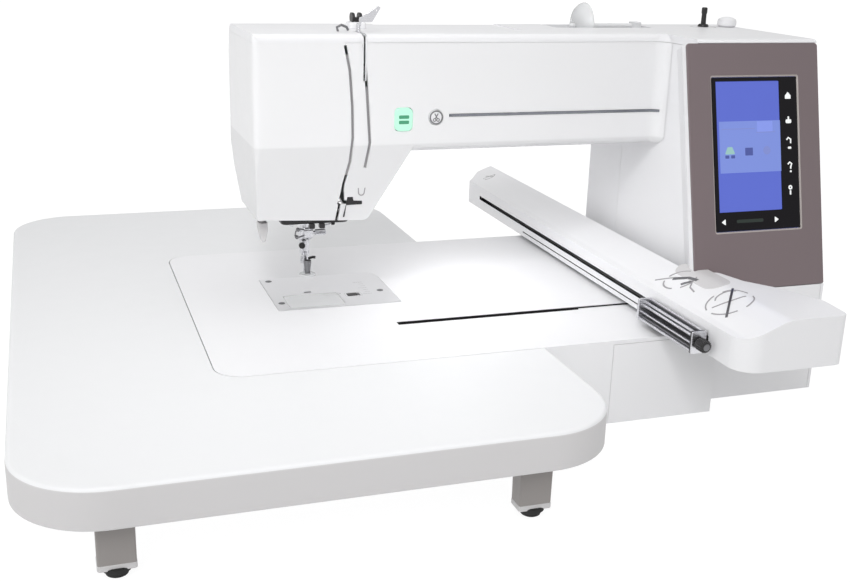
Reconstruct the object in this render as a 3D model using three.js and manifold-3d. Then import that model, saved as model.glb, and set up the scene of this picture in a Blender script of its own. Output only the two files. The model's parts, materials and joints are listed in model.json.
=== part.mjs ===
// Embroidery machine with a flat bed, a travelling embroidery arm and a wide extension table.
// Millimetres. +X runs along the arm towards the column, +Y away from the operator, +Z up.
// Before the last shift the needle stands at Y = 0 and the work surface is Z = BED_TOP.
import * as THREE from 'three';
import { mergeVertices } from 'three/addons/utils/BufferGeometryUtils.js';
import Module from 'manifold-3d';

const wasm = await Module();
wasm.setup();

// ---------- driving dimensions ----------
const SEAM = 0.15;             // half the joint between the top cover and the shells under it
const GAP = 0.4;              // clearance between neighbouring pieces
const WALL = 2.6;             // moulded wall thickness
const BED_TOP = 77.4;         // work surface height
const SKIRT = 0.8;            // the casing's lower edge, just clear of the floor
const CASE_BOTTOM = 5;        // underside of the base plate, held up by the rubber feet
const BASE_PLATE = 4;         // base plate thickness
const BED = { left: -205.5, right: 231.6, front: -191.2, back: 148.5, corner: 22, top: 3.4 };
const TABLE = { left: -355.8, right: 66, half: 347.8, rim: 29, wall: 4, corner: 62 };
const LEG = { x: [-292, 1], y: 317, pivot: 62, width: 26, depth: 18, footRadius: 10.5 };
const ARM = { front: -57.3, back: 77, bottom: 219, crease: 225.9, top: 320, edge: 6 };
const HEAD = { left: -150.7, bottom: 157.5, faceSplit: -136, frontCorner: 6, backCorner: 12 };
const COLUMN = { left: 232, right: 355.8, front: -166.4, fillet: 12 };
const PANEL = { left: 220, bottomY: -166.4, bottomZ: 104.7, height: 219.2, tilt: 0.2522, thick: 8 };
const SCREEN = { x: [243.9, 332.5], z: [52.6, 189.5], lcdX: [247.8, 313.6], lcdZ: [70.1, 185.8] };
const NEEDLE = { x: -92.6, tip: 97, stroke: 31 };
const PLATE = { x: [-129.3, -14.7], y: [-47.2, 49.2], thick: 2, clip: 14 };
const SHAFT = { y: 0, z: 283, radius: 6 };
const LOWER_SHAFT = { y: 4.5, z: 30, radius: 4 };
const HOOK = { y: -19, radius: 17 };
const SLOT = { y: -103.9, left: -36.3, right: 216.5, width: 8 };
const EMB = { left: 181.8, right: 217.5, bottom: 82.5, top: 124.3, front: -298.6, back: 318.4 };
const EMB_WING = 280;         // right edge of the embroidery arm's front housing
const HANDWHEEL = { radius: 32, proud: 12 };
const SPOOL = { y: 32, z: 320, cap: 22 };
const SPLIT_Y = 10;           // front and rear shells meet here
const SPLIT_Z = 313;          // the top cover sits on the shells here
const SIDE_SPLIT = COLUMN.right - 2.8;   // the right side cover starts here

// ---------- materials ----------
const paint = (color, roughness, metalness = 0) =>
  new THREE.MeshStandardMaterial({ color, roughness, metalness });
const WHITE = paint(0xf1f1f3, 0.42);
const TABLE_WHITE = paint(0xe9eaec, 0.5);
const TAUPE = paint(0x74676a, 0.45);
const BLACK = paint(0x161517, 0.4);
const GLASS_BLACK = paint(0x0e0d10, 0.1);
const LCD_BLUE = paint(0x5f6edc, 0.2);
const STEEL = paint(0xc9cace, 0.28, 1);
const CAST = paint(0xa9abad, 0.55, 0.9);
const RUBBER = paint(0x1d1d1e, 0.85);
const GREEN = paint(0xb4f0d2, 0.35);
const BOARD = paint(0x1f6b3a, 0.5);
const COPPER = paint(0x4a4c50, 0.45, 0.6);
const CLEAR = paint(0xeef0f1, 0.2);

// ---------- geometry helpers ----------
// three.js geometry to a solid that can be joined and cut.
function solid(geometry) {
  const g = geometry.clone();
  g.deleteAttribute('normal');
  g.deleteAttribute('uv');
  const merged = mergeVertices(g, 1e-4);
  return new wasm.Manifold(new wasm.Mesh({
    numProp: 3,
    vertProperties: new Float32Array(merged.attributes.position.array),
    triVerts: new Uint32Array(merged.index.array),
  }));
}

// Adds one named sub-part to a group.
function node(group, name, body, material) {
  const mesh = body.getMesh();
  const g = new THREE.BufferGeometry();
  g.setAttribute('position', new THREE.BufferAttribute(new Float32Array(mesh.vertProperties), 3));
  g.setIndex(new THREE.BufferAttribute(new Uint32Array(mesh.triVerts), 1));
  g.computeVertexNormals();
  const part = new THREE.Mesh(g, material);
  part.name = name;
  group.add(part);
  return part;
}

function join(...bodies) {
  return bodies.reduce((total, body) => total.add(body));
}

function box([x0, x1], [y0, y1], [z0, z1]) {
  const g = new THREE.BoxGeometry(x1 - x0, y1 - y0, z1 - z0);
  g.translate((x0 + x1) / 2, (y0 + y1) / 2, (z0 + z1) / 2);
  return solid(g);
}

// An extruded outline. axis 'x' takes [y, z] points, 'y' takes [x, z] and 'z' takes [x, y].
function prism(axis, points, from, to) {
  const shape = new THREE.Shape(points.map(([a, b]) => new THREE.Vector2(a, b)));
  const g = new THREE.ExtrudeGeometry(shape, { depth: to - from, bevelEnabled: false });
  const ex = new THREE.Vector3(1, 0, 0);
  const ey = new THREE.Vector3(0, 1, 0);
  const ez = new THREE.Vector3(0, 0, 1);
  if (axis === 'x') g.applyMatrix4(new THREE.Matrix4().makeBasis(ey, ez, ex)).translate(from, 0, 0);
  if (axis === 'y') g.applyMatrix4(new THREE.Matrix4().makeBasis(ex, ez, ey.negate())).translate(0, to, 0);
  if (axis === 'z') g.translate(0, 0, from);
  return solid(g);
}

// Corners [x, y, radius] to an outline whose corners are rounded by arcs.
function rounded(corners, steps = 8) {
  const points = [];
  corners.forEach(([x, y, r = 0], i) => {
    const before = corners.at(i - 1);
    const after = corners[(i + 1) % corners.length];
    if (r === 0) {
      points.push([x, y]);
      return;
    }
    const here = new THREE.Vector2(x, y);
    const a = new THREE.Vector2(before[0] - x, before[1] - y).normalize();
    const b = new THREE.Vector2(after[0] - x, after[1] - y).normalize();
    const half = Math.acos(THREE.MathUtils.clamp(a.dot(b), -1, 1)) / 2;
    const reach = r / Math.tan(half);
    const start = here.clone().addScaledVector(a, reach);
    const end = here.clone().addScaledVector(b, reach);
    const centre = here.clone().add(a.clone().add(b).normalize().multiplyScalar(r / Math.sin(half)));
    const from = start.clone().sub(centre).angle();
    let turn = end.clone().sub(centre).angle() - from;
    if (turn > Math.PI) turn -= 2 * Math.PI;
    if (turn < -Math.PI) turn += 2 * Math.PI;
    for (let k = 0; k <= steps; k += 1) {
      const angle = from + turn * k / steps;
      points.push([centre.x + r * Math.cos(angle), centre.y + r * Math.sin(angle)]);
    }
  });
  return points;
}

// Moves every edge of an anticlockwise outline inwards by a distance.
function inset(points, distance) {
  const n = points.length;
  return points.map((p, i) => {
    const before = points[(i + n - 1) % n];
    const after = points[(i + 1) % n];
    const a = new THREE.Vector2(p[0] - before[0], p[1] - before[1]).normalize();
    const b = new THREE.Vector2(after[0] - p[0], after[1] - p[1]).normalize();
    const normal = new THREE.Vector2(-a.y - b.y, a.x + b.x).normalize();
    const miter = distance / Math.max(0.3, normal.dot(new THREE.Vector2(-a.y, a.x)));
    return [p[0] + normal.x * miter, p[1] + normal.y * miter];
  });
}

// A turned piece: profile [radius, along] closed on the axis, standing on axis 'x', 'y' or 'z'.
function turned(axis, centre, profile, segments = 24) {
  const g = new THREE.LatheGeometry(profile.map(([r, h]) => new THREE.Vector2(r, h)), segments);
  if (axis === 'x') g.rotateZ(-Math.PI / 2);
  if (axis === 'z') g.rotateX(Math.PI / 2);
  g.translate(...centre);
  return solid(g);
}

function cylinder(axis, centre, radius, from, to, segments = 24) {
  return turned(axis, centre, [[0, from], [radius, from], [radius, to], [0, to]], segments);
}

// A strip of constant width along a line of [x, z] points, cut through the wall at y0..y1.
function strip(points, width, y0, y1) {
  const left = [];
  const right = [];
  points.forEach(([x, z], i) => {
    const before = points[Math.max(i - 1, 0)];
    const after = points[Math.min(i + 1, points.length - 1)];
    const along = new THREE.Vector2(after[0] - before[0], after[1] - before[1]).normalize();
    left.push([x - along.y * width / 2, z + along.x * width / 2]);
    right.unshift([x + along.y * width / 2, z - along.x * width / 2]);
  });
  return prism('y', [...left, ...right].reverse(), y0, y1);
}

// A belt round two pulleys that stand on the x axis direction.
function belt([ya, za, ra], [yb, zb, rb], x0, x1, thick) {
  const loop = (grow) => {
    const distance = Math.hypot(yb - ya, zb - za);
    const lean = Math.atan2(zb - za, yb - ya);
    const wrap = Math.acos((ra - rb) / distance);
    const points = [];
    const steps = 12;
    for (let k = 0; k <= steps; k += 1) {
      const angle = lean + wrap + (2 * Math.PI - 2 * wrap) * k / steps;
      points.push([ya + (ra + grow) * Math.cos(angle), za + (ra + grow) * Math.sin(angle)]);
    }
    for (let k = 0; k <= steps; k += 1) {
      const angle = lean - wrap + 2 * wrap * k / steps;
      points.push([yb + (rb + grow) * Math.cos(angle), zb + (rb + grow) * Math.sin(angle)]);
    }
    return points;
  };
  return prism('x', loop(GAP + thick), x0, x1).subtract(prism('x', loop(GAP), x0 - 1, x1 + 1));
}

const machine = new THREE.Group();
machine.position.x = -HANDWHEEL.proud / 2;   // centres the whole box on X = 0

// ---------- bed and base ----------
const bedOutline = rounded([
  [BED.left, BED.front, BED.corner], [BED.right, BED.front], [BED.right, BED.back],
  [BED.left, BED.back, BED.corner],
]);
const floorLevel = CASE_BOTTOM + BASE_PLATE + GAP;   // what stands on the base plate starts here
// cables and shafts pass from the bed to the column here
const SIDE_DOOR = [-60, 72];

// The base plate lies inside the casing's skirt, and runs through the side door into the column.
function addBase() {
  const height = [CASE_BOTTOM, CASE_BOTTOM + BASE_PLATE];
  const clear = WALL + GAP;
  const plate = join(
    prism('z', inset(bedOutline, clear), ...height),
    box([COLUMN.left + clear, SIDE_SPLIT - GAP], [COLUMN.front + clear, ARM.back - clear], height),
    box([BED.right - 10, COLUMN.left + 10], [SIDE_DOOR[0] + GAP, SIDE_DOOR[1] - GAP], height),
  );
  node(machine, 'base_plate', plate, TABLE_WHITE);
  const feet = { front_left: [-180, -165], front_right: [325, -140], rear_left: [-180, 122],
    rear_right: [325, 50] };
  for (const [place, [x, y]] of Object.entries(feet)) {
    const foot = turned('z', [x, y, 0],
      [[0, 0], [11, 0], [12, 1], [12, CASE_BOTTOM - 0.3], [0, CASE_BOTTOM - 0.3]], 16);
    node(machine, `base_foot_${place}`, foot, RUBBER);
  }
}

// The strip that closes the slot behind the carriage slides into a pocket under the bed's top.
const SLOT_STRIP = { left: 139.6, z: [74.2, 75.8] };
const ARM_TRAVEL = 200;

// The fascia at the front right of the bed is its own moulding, beside a vertical seam.
const FASCIA = { left: 129, top: BED_TOP - BED.top };

function addBedCover() {
  const outer = prism('z', bedOutline, SKIRT, BED_TOP);
  const inner = prism('z', inset(bedOutline, WALL), SKIRT - 1, BED_TOP - BED.top);
  const plateRecess = prism('z', plateOutline(-GAP), BED_TOP - PLATE.thick - 0.2, BED_TOP + 1);
  const plateWindow = prism('z', plateOutline(3.5), floorLevel, BED_TOP + 1);
  const slot = box([SLOT.left, SLOT.right], [SLOT.y - SLOT.width / 2, SLOT.y + SLOT.width / 2],
    [60, BED_TOP + 1]);
  const pocket = box([SLOT_STRIP.left - ARM_TRAVEL - 1, SLOT.right], [SLOT.y - 3.8, SLOT.y + 3.8],
    [BED_TOP - BED.top - 1, SLOT_STRIP.z[1] + 0.3]);
  const sideDoor = box([BED.right - 4, BED.right + 1], SIDE_DOOR, [SKIRT - 1, 70]);
  const fascia = box([FASCIA.left, BED.right + 1], [BED.front - 1, BED.front + WALL + GAP],
    [SKIRT - 1, FASCIA.top]);
  const cover = outer.subtract(inner).subtract(plateRecess).subtract(plateWindow)
    .subtract(slot).subtract(pocket).subtract(sideDoor).subtract(fascia);
  node(machine, 'bed_cover', cover, WHITE);
  const panel = box([FASCIA.left + GAP, BED.right - GAP], [BED.front, BED.front + WALL],
    [SKIRT, FASCIA.top - GAP]);
  node(machine, 'base_front_fascia', panel, WHITE);
}

// The needle plate has its back right corner cut off. A positive margin shrinks it.
function plateOutline(margin) {
  const [x0, x1] = PLATE.x;
  const [y0, y1] = PLATE.y;
  const corners = [
    [x0 + margin, y0 + margin, 3], [x1 - margin, y0 + margin, 3],
    [x1 - margin, y1 - PLATE.clip], [x1 - margin - PLATE.clip * 0.3, y1 - margin, 2],
    [x0 + margin, y1 - margin, 3],
  ];
  return rounded(corners, 3);
}

const HOOK_WINDOW = { x: [-118, -66], y: [-43, -6] };
const RELEASE = { x: -53.8, y: -16.3, size: [9, 7] };

function addNeedlePlate() {
  const bottom = BED_TOP - PLATE.thick;
  const needleHole = box([NEEDLE.x - 3.5, NEEDLE.x + 3.5], [-2, 2], [bottom - 1, BED_TOP + 1]);
  const window = prism('z', rounded([
    [HOOK_WINDOW.x[0], HOOK_WINDOW.y[0], 3], [HOOK_WINDOW.x[1], HOOK_WINDOW.y[0], 3],
    [HOOK_WINDOW.x[1], HOOK_WINDOW.y[1], 3], [HOOK_WINDOW.x[0], HOOK_WINDOW.y[1], 3],
  ], 3), bottom - 1, BED_TOP + 1);
  const [w, d] = RELEASE.size;
  const keyHole = box([RELEASE.x - w / 2 - GAP, RELEASE.x + w / 2 + 3],
    [RELEASE.y - d / 2 - GAP, RELEASE.y + d / 2 + GAP],
    [bottom - 1, BED_TOP + 1]);
  const plate = prism('z', plateOutline(0), bottom, BED_TOP + 0.2).subtract(needleHole).subtract(window)
    .subtract(keyHole);
  node(machine, 'needle_plate', plate, STEEL);
  const cover = prism('z', rounded([
    [HOOK_WINDOW.x[0] + GAP, HOOK_WINDOW.y[0] + GAP, 3], [HOOK_WINDOW.x[1] - GAP, HOOK_WINDOW.y[0] + GAP, 3],
    [HOOK_WINDOW.x[1] - GAP, HOOK_WINDOW.y[1] - GAP, 3], [HOOK_WINDOW.x[0] + GAP, HOOK_WINDOW.y[1] - GAP, 3],
  ], 3), bottom, BED_TOP + 0.2);
  node(machine, 'hook_cover_plate', cover, CLEAR);
  const key = box([RELEASE.x - w / 2, RELEASE.x + w / 2], [RELEASE.y - d / 2, RELEASE.y + d / 2],
    [bottom, BED_TOP + 0.6]);
  node(machine, 'cover_release_button', key, BLACK);
}

// ---------- arm, head and column shells ----------
const roofBack = [[77, 226], [74.6, 248], [66.3, 286], [60, ARM.top, 12]];
const armProfile = rounded([
  [ARM.front, ARM.bottom, ARM.edge], [70, ARM.bottom], ...roofBack, [ARM.front, ARM.top, 5],
], 4);
const headProfile = [
  [-53, HEAD.bottom], [0, HEAD.bottom], [25, 164], [56, 190], [ARM.back, ARM.bottom + 8],
  [ARM.front, ARM.crease],
];
const headFront = rounded([
  [HEAD.left, ARM.crease + 8], [HEAD.left + 2, 163], [-51, 158.3, 9], [-12, ARM.bottom + 2],
  [-6, ARM.crease + 8],
], 5);
const headPlan = rounded([
  [HEAD.left, ARM.front, HEAD.frontCorner], [COLUMN.left + 20, ARM.front], [COLUMN.left + 20, ARM.back],
  [HEAD.left, ARM.back, HEAD.backCorner],
], 5);

// The column's side outline. Its inside is open at the bottom, so a margin takes only walls and roof.
function columnProfile(bottom) {
  return rounded([
    [COLUMN.front, bottom], [ARM.back, bottom], ...roofBack, [-108, ARM.top, 6], [-111.7, 317],
    [PANEL.bottomY, PANEL.bottomZ],
  ], 4);
}

function armBody(margin) {
  const reach = COLUMN.left - GAP;
  const arm = prism('x', inset(armProfile, margin), HEAD.left + margin, reach);
  const side = prism('y', inset(headFront, margin), -100, 100);
  const lower = prism('x', inset(headProfile, margin), HEAD.left, 20);
  return arm.add(side.intersect(lower)).intersect(prism('z', inset(headPlan, margin), 100, 400));
}

// The hollow in plan between the arm's front and the column. Its edges fall back as the arm's do.
function filletBody() {
  const r = COLUMN.fillet;
  const right = COLUMN.left - GAP;
  const centre = [right - r, ARM.front - r];
  const layer = (setBack, low, high) => {
    const points = [[right + 9, ARM.front + 9], [centre[0], ARM.front + 9]];
    const steps = 12;
    for (let k = 0; k <= steps; k += 1) {
      const angle = Math.PI / 2 * (1 - k / steps);
      const reach = r + setBack;
      points.push([centre[0] + reach * Math.cos(angle), centre[1] + reach * Math.sin(angle)]);
    }
    points.push([right + 9, centre[1]]);
    return prism('z', points.reverse(), low, high);
  };
  const layers = [layer(0, ARM.bottom + ARM.edge, ARM.top - 5)];
  const steps = 4;
  for (let k = 0; k < steps; k += 1) {
    const from = Math.PI / 2 * k / steps;
    const to = Math.PI / 2 * (k + 1) / steps;
    const drop = (radius) => [radius * (1 - Math.cos(to)), radius * Math.sin(from), radius * Math.sin(to)];
    const [back, top0, top1] = drop(5);
    layers.push(layer(back, ARM.top - 5 + top0 - 0.01, ARM.top - 5 + top1));
    const [lowBack, low0, low1] = drop(ARM.edge);
    layers.push(layer(lowBack, ARM.bottom + ARM.edge - low1, ARM.bottom + ARM.edge - low0 + 0.01));
  }
  return join(...layers).intersect(box([0, right], [-200, ARM.front + 2], [0, 400]));
}

// The left thread channel is also where the face cover meets the arm's front cover.
const LEFT_CHANNEL = [
  [-72.6, 311], [-68.4, 290], [-66, 260], [-65.3, 233], [-67.5, 212], [-72.6, 193], [-79.4, 155],
];

// The head's end and the part of its front that lies left of the left thread channel.
function faceRegion() {
  const end = box([HEAD.left - 5, HEAD.faceSplit], [-100, 100], [150, SPLIT_Z]);
  const front = [
    [HEAD.left - 5, 150], [-79.4, 150], ...LEFT_CHANNEL.slice(1).reverse(), [-72.6, SPLIT_Z],
    [HEAD.left - 5, SPLIT_Z],
  ];
  return end.add(prism('y', front, -100, SPLIT_Y - GAP / 2));
}

// Thread channels in the head's front wall.
function threadSlits() {
  const depth = [ARM.front - 2, ARM.front + WALL + 6];
  const left = strip(LEFT_CHANNEL, 2.6, ...depth);
  const right = strip([[-56.5, 311], [-53, 270], [-50, 228], [-53.9, 206]], 2.8, ...depth);
  const hook = prism('y', [[-72.6, 193], [-78.5, 174], [-63, 174], [-63, 177.5], [-71.5, 177.5]], ...depth);
  return join(left, right, hook);
}

// The take-up lever swings out through the top of the right thread channel.
const TAKE_UP = { x: -55.6, y: -25, z: 270, thick: 1.6 };
const LEVER_SLOT = { x: [TAKE_UP.x - 1.9, TAKE_UP.x + 1.9], back: -22, bottom: 281 };
const BUTTON_START = { x: -19.9, z: 247.5, size: [16, 20] };
const BUTTON_CUTTER = { x: 9.7, z: 248.8, radius: 6.5 };
const TRIM = { left: 22.1, z: 250.2, height: 2.2, depth: 1.2 };

function startButtonOutline(margin) {
  const [w, h] = BUTTON_START.size;
  const x = [BUTTON_START.x - w / 2 + margin, BUTTON_START.x + w / 2 - margin];
  const z = [BUTTON_START.z - h / 2 + margin, BUTTON_START.z + h / 2 - margin];
  return rounded([[x[0], z[0], 4], [x[1], z[0], 4], [x[1], z[1], 4], [x[0], z[1], 4]], 3);
}

// The inlaid trim follows the arm's front face and turns a little way into the fillet.
function trimBody(grow) {
  const r = COLUMN.fillet;
  const centre = [COLUMN.left - GAP - r, ARM.front - r];
  const outer = [[TRIM.left - grow, ARM.front - 0.4]];
  const inner = [[TRIM.left - grow, ARM.front + TRIM.depth + grow]];
  const steps = 5;
  for (let k = 0; k <= steps; k += 1) {
    const angle = Math.PI / 2 - (50 * Math.PI / 180) * k / steps;
    outer.push([centre[0] + (r - 0.4) * Math.cos(angle), centre[1] + (r - 0.4) * Math.sin(angle)]);
    const far = r + TRIM.depth + grow;
    inner.push([centre[0] + far * Math.cos(angle), centre[1] + far * Math.sin(angle)]);
  }
  const half = TRIM.height / 2 + grow;
  return prism('z', [...outer, ...inner.reverse()], TRIM.z - half, TRIM.z + half);
}

// The parts of the casing that are open from one shell to the next.
const ARM_MOUTH = box([COLUMN.left - 5, COLUMN.left + 5], [-50, 64], [ARM.bottom + 4, 316]);
const BED_MOUTH = box([COLUMN.left - 1, COLUMN.left + WALL + 1], SIDE_DOOR, [SKIRT - 1, 70]);
const NEEDLE_MOUTH = box([HEAD.left + WALL + 1, -58], [-50, 24], [150, 175]);

function addArmShells() {
  const skin = armBody(0).subtract(armBody(WALL)).subtract(ARM_MOUTH).subtract(NEEDLE_MOUTH);
  const leverSlot = box(LEVER_SLOT.x, [ARM.front - 2, LEVER_SLOT.back], [LEVER_SLOT.bottom, ARM.top + 2]);
  const frontDepth = [ARM.front - 2, ARM.front + 8];
  node(machine, 'face_cover', skin.intersect(faceRegion()).subtract(threadSlits()), WHITE);
  const startHole = prism('y', startButtonOutline(-GAP), ...frontDepth);
  const cutterHole = cylinder('y', [BUTTON_CUTTER.x, 0, BUTTON_CUTTER.z], BUTTON_CUTTER.radius + GAP,
    ...frontDepth);
  const frontRegion = box([HEAD.faceSplit + GAP, COLUMN.left - GAP], [-120, SPLIT_Y - GAP / 2],
    [150, SPLIT_Z - SEAM]);
  const front = skin.add(filletBody()).intersect(frontRegion)
    .subtract(faceRegion()).subtract(flare(GAP * 2)).subtract(threadSlits())
    .subtract(leverSlot).subtract(startHole).subtract(cutterHole).subtract(trimBody(0.3));
  node(machine, 'arm_front_cover', front, WHITE);
  const lifterSlot = box([-100, -85], [30, 90], [150, 222]);
  const trough = box(grown(TROUGH.x, GAP), grown(TROUGH.y, GAP), [TROUGH.floor - 3, ARM.top + 2]);
  const casing = armBody(0).add(columnBody(0)).subtract(armBody(WALL)).subtract(columnBody(WALL));
  const rearRegion = box([HEAD.faceSplit + GAP, SIDE_SPLIT - GAP], [SPLIT_Y + GAP / 2, 100],
    [0, SPLIT_Z - SEAM]);
  const backJoint = box([COLUMN.left - 3, COLUMN.left + 3], [ARM.back - WALL, ARM.back - 0.2], [230, 244]);
  const rear = casing.subtract(ARM_MOUTH).subtract(BED_MOUTH).subtract(NEEDLE_MOUTH)
    .intersect(rearRegion).subtract(lifterSlot).subtract(trough);
  node(machine, 'rear_cover', rear.add(backJoint), WHITE);
  const roofRegion = box([-200, 400], [-130, 100], [SPLIT_Z + SEAM, ARM.top + 2]);
  const handleDip = box([-20, 105], [-20, 70], [ARM.top - 1.2, ARM.top + 2]);
  const roof = casing.add(filletBody()).intersect(roofRegion)
    .subtract(box([COLUMN.left - 4, COLUMN.left + 4], [-50, 62], [SPLIT_Z, ARM.top - WALL]))
    .subtract(panelFront(PANEL.thick + GAP)).subtract(leverSlot)
    .subtract(threadSlits()).subtract(handleDip).subtract(wheelPocket());
  node(machine, 'top_cover', addTrough(fillTop(roof)), WHITE);
}

function grown([from, to], by) {
  return [from - by, to + by];
}

// The spool lies in a trough sunk into the roof.
const TROUGH = { x: [150, 257], y: [8, 56], floor: 296 };

function addTrough(roof) {
  const pan = box(TROUGH.x, TROUGH.y, [TROUGH.floor - 2, ARM.top - 1]);
  const hollow = box([TROUGH.x[0] + 2, TROUGH.x[1] - 2], [TROUGH.y[0] + 2, TROUGH.y[1] - 2],
    [TROUGH.floor, ARM.top + 2]);
  return roof.add(pan).subtract(hollow);
}

// Closes the joint between the arm's roof and the column's roof.
function fillTop(top) {
  return top.add(box([COLUMN.left - 3, COLUMN.left + 3], [-50, 50], [ARM.top - WALL, ARM.top]));
}

// Room for the handwheel in the right side of the casing.
function wheelPocket() {
  return cylinder('x', [0, SHAFT.y, SHAFT.z], HANDWHEEL.radius + 1.5, 342, 370, 32);
}

function columnBody(margin) {
  const bottom = margin > 0 ? SKIRT - 10 : SKIRT;
  return prism('x', inset(columnProfile(bottom), margin), COLUMN.left + margin, COLUMN.right - margin);
}

// Places a body drawn flat behind the control panel's front face: local x, depth, height.
function onPanel(body) {
  const m = new THREE.Matrix4().makeRotationX(-PANEL.tilt);
  m.setPosition(0, PANEL.bottomY, PANEL.bottomZ);
  return body.transform(m.elements);
}

// Everything in front of a plane that lies behind the panel's front face by a depth.
function panelFront(depth) {
  return onPanel(box([200, 400], [-40, depth], [-GAP, PANEL.height + GAP]));
}

// The column's front flares out to the panel's left edge.
function flare(grow) {
  const outline = [
    [PANEL.left - grow, PANEL.thick - grow * 5], [COLUMN.left + 1, PANEL.thick - grow * 5],
    [COLUMN.left + 1, 38 + grow],
    ...(grow > 0 ? [[PANEL.left - grow, PANEL.thick + grow]] : []),
  ];
  return onPanel(prism('z', outline, -grow, PANEL.height - 1 + grow));
}

function addColumnShells() {
  const skin = columnBody(0).subtract(columnBody(WALL)).subtract(ARM_MOUTH).subtract(BED_MOUTH);
  const rim = [SIDE_SPLIT, COLUMN.right + 1];
  const front = skin.add(flare(0).subtract(columnBody(0)))
    .intersect(box([200, rim[0] - GAP], [-200, SPLIT_Y - GAP / 2], [0, SPLIT_Z - SEAM]))
    .subtract(panelFront(PANEL.thick + GAP));
  node(machine, 'column_front_cover', front, WHITE);
  const side = columnBody(0).intersect(box(rim, [-200, 100], [0, SPLIT_Z - SEAM]))
    .subtract(panelFront(PANEL.thick + GAP)).subtract(wheelPocket())
    .subtract(box([340, 370], grown(SOCKET.y, GAP), grown(SOCKET.z, GAP)));
  node(machine, 'right_side_cover', side, WHITE);
}

// ---------- control panel ----------
function addControlPanel() {
  const bezel = box([PANEL.left, COLUMN.right], [0, PANEL.thick], [0, PANEL.height])
    .subtract(box(SCREEN.x, [-1, PANEL.thick + 1], SCREEN.z));
  node(machine, 'control_panel_bezel', onPanel(bezel), TAUPE);
  const glass = box([SCREEN.x[0] + GAP, SCREEN.x[1] - GAP], [0.3, 2.2],
    [SCREEN.z[0] + GAP, SCREEN.z[1] - GAP])
    .subtract(box(SCREEN.lcdX, [-1, 4], SCREEN.lcdZ));
  node(machine, 'touch_panel', onPanel(glass), GLASS_BLACK);
  const lcd = join(
    box([SCREEN.lcdX[0] + GAP, SCREEN.lcdX[1] - GAP], [0.5, 3.5],
      [SCREEN.lcdZ[0] + GAP, SCREEN.lcdZ[1] - GAP]),
    box([SCREEN.x[0] + 1, SCREEN.x[1] - 1], [2.7, 7.5], [SCREEN.z[0] + 1, SCREEN.z[1] - 1]),
  );
  node(machine, 'lcd_display', onPanel(lcd), LCD_BLUE);
  const board = join(
    box([244, 344], [14, 15.6], [30, 190]),
    box([255, 285], [15.5, 18.5], [60, 90]),
    box([300, 325], [15.5, 19], [120, 140]),
    box([250, 262], [15.5, 25], [150, 175]),
  );
  node(machine, 'main_board', onPanel(board), BOARD);
}

// ---------- sockets on the right side ----------
const SOCKET = { y: [20, 48], z: [26, 76] };
const INLET = { y: [23, 45], z: [29, 48] };
const SWITCH = { y: [24, 44], z: [58, 72] };

function addSockets() {
  const right = COLUMN.right;
  const socket = box([right - 20, right - 0.3], SOCKET.y, SOCKET.z)
    .subtract(box([right - 15, right + 1], INLET.y, INLET.z))
    .subtract(box([right - 15, right + 1], SWITCH.y, SWITCH.z));
  node(machine, 'power_inlet', socket, BLACK);
  const midZ = (SWITCH.z[0] + SWITCH.z[1]) / 2;
  const midY = (SWITCH.y[0] + SWITCH.y[1]) / 2;
  const rocker = prism('z', [
    [right - 6, midY - 9], [right + 0.5, midY - 9], [right - 1, midY], [right + 2.5, midY + 9],
    [right - 6, midY + 9],
  ], midZ - 5, midZ + 5);
  node(machine, 'power_switch', rocker, BLACK);
}

// ---------- frame, shafts and drive ----------
const BEARING_X = [[-72, -62], [286, 296]];
const LOWER_BEARING_X = [[-60, -50], [200, 210]];
const PULLEY = { x: [300, 314], radius: 15 };
const DRIVE_PULLEY = { x: [322, 334], radius: 28 };
const MOTOR = { y: -60, z: 120, radius: 27, pulley: 9 };
const PRESSER_Y = 14;

function addFrame() {
  const arm = join(
    box([-128, 298], [-20, 60], [226, 234]),
    box([-128, 298], [50, 60], [233, 280]),
    ...BEARING_X.map((x) => box(x, [-12, 20], [233, 296])),
    box([-125, -64], [28, 34], [180, 230]),
    box([-125, -64], [28, 34], [233, 300]),
    box([-104, -85.5], [-8, 29], [176, 186]),
    box([-104, -85.5], [-8, 30], [246, 258]),
    box([262, 298], [30, 60], [48.4, 227]),
    box([TAKE_UP.x - 10, TAKE_UP.x - 4], [TAKE_UP.y - 6, -11], [TAKE_UP.z - 6, TAKE_UP.z + 6]),
    cylinder('x', [0, TAKE_UP.y, TAKE_UP.z], 3, TAKE_UP.x - 5, TAKE_UP.x + 4, 12),
  )
    .subtract(cylinder('x', [0, SHAFT.y, SHAFT.z], SHAFT.radius + 0.35, -100, 320))
    .subtract(box([-106, -84], [-22, 27], [225, 235]))
    .subtract(cylinder('z', [NEEDLE.x, 0, 0], 3.85, 150, 300, 16))
    .subtract(cylinder('z', [NEEDLE.x, PRESSER_Y, 0], 4.35, 150, 300, 16))
    .subtract(box([-60, -51], [-40, 25], [225, 235]));
  node(machine, 'arm_frame', arm, CAST);
  const bed = join(
    box([-150, 320], [30, 60], [14, 48]),
    ...LOWER_BEARING_X.map((x) => box(x, [-4, 31], [20, 40])),
    box([-106, -79], [-30, 31], [43, 48]),
  )
    .subtract(cylinder('x', [0, LOWER_SHAFT.y, LOWER_SHAFT.z], LOWER_SHAFT.radius + 0.35, -100, 320, 16))
    .subtract(cylinder('z', [NEEDLE.x, HOOK.y, 0], 4.4, 30, 60, 16));
  node(machine, 'bed_frame', bed, CAST);
}

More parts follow.
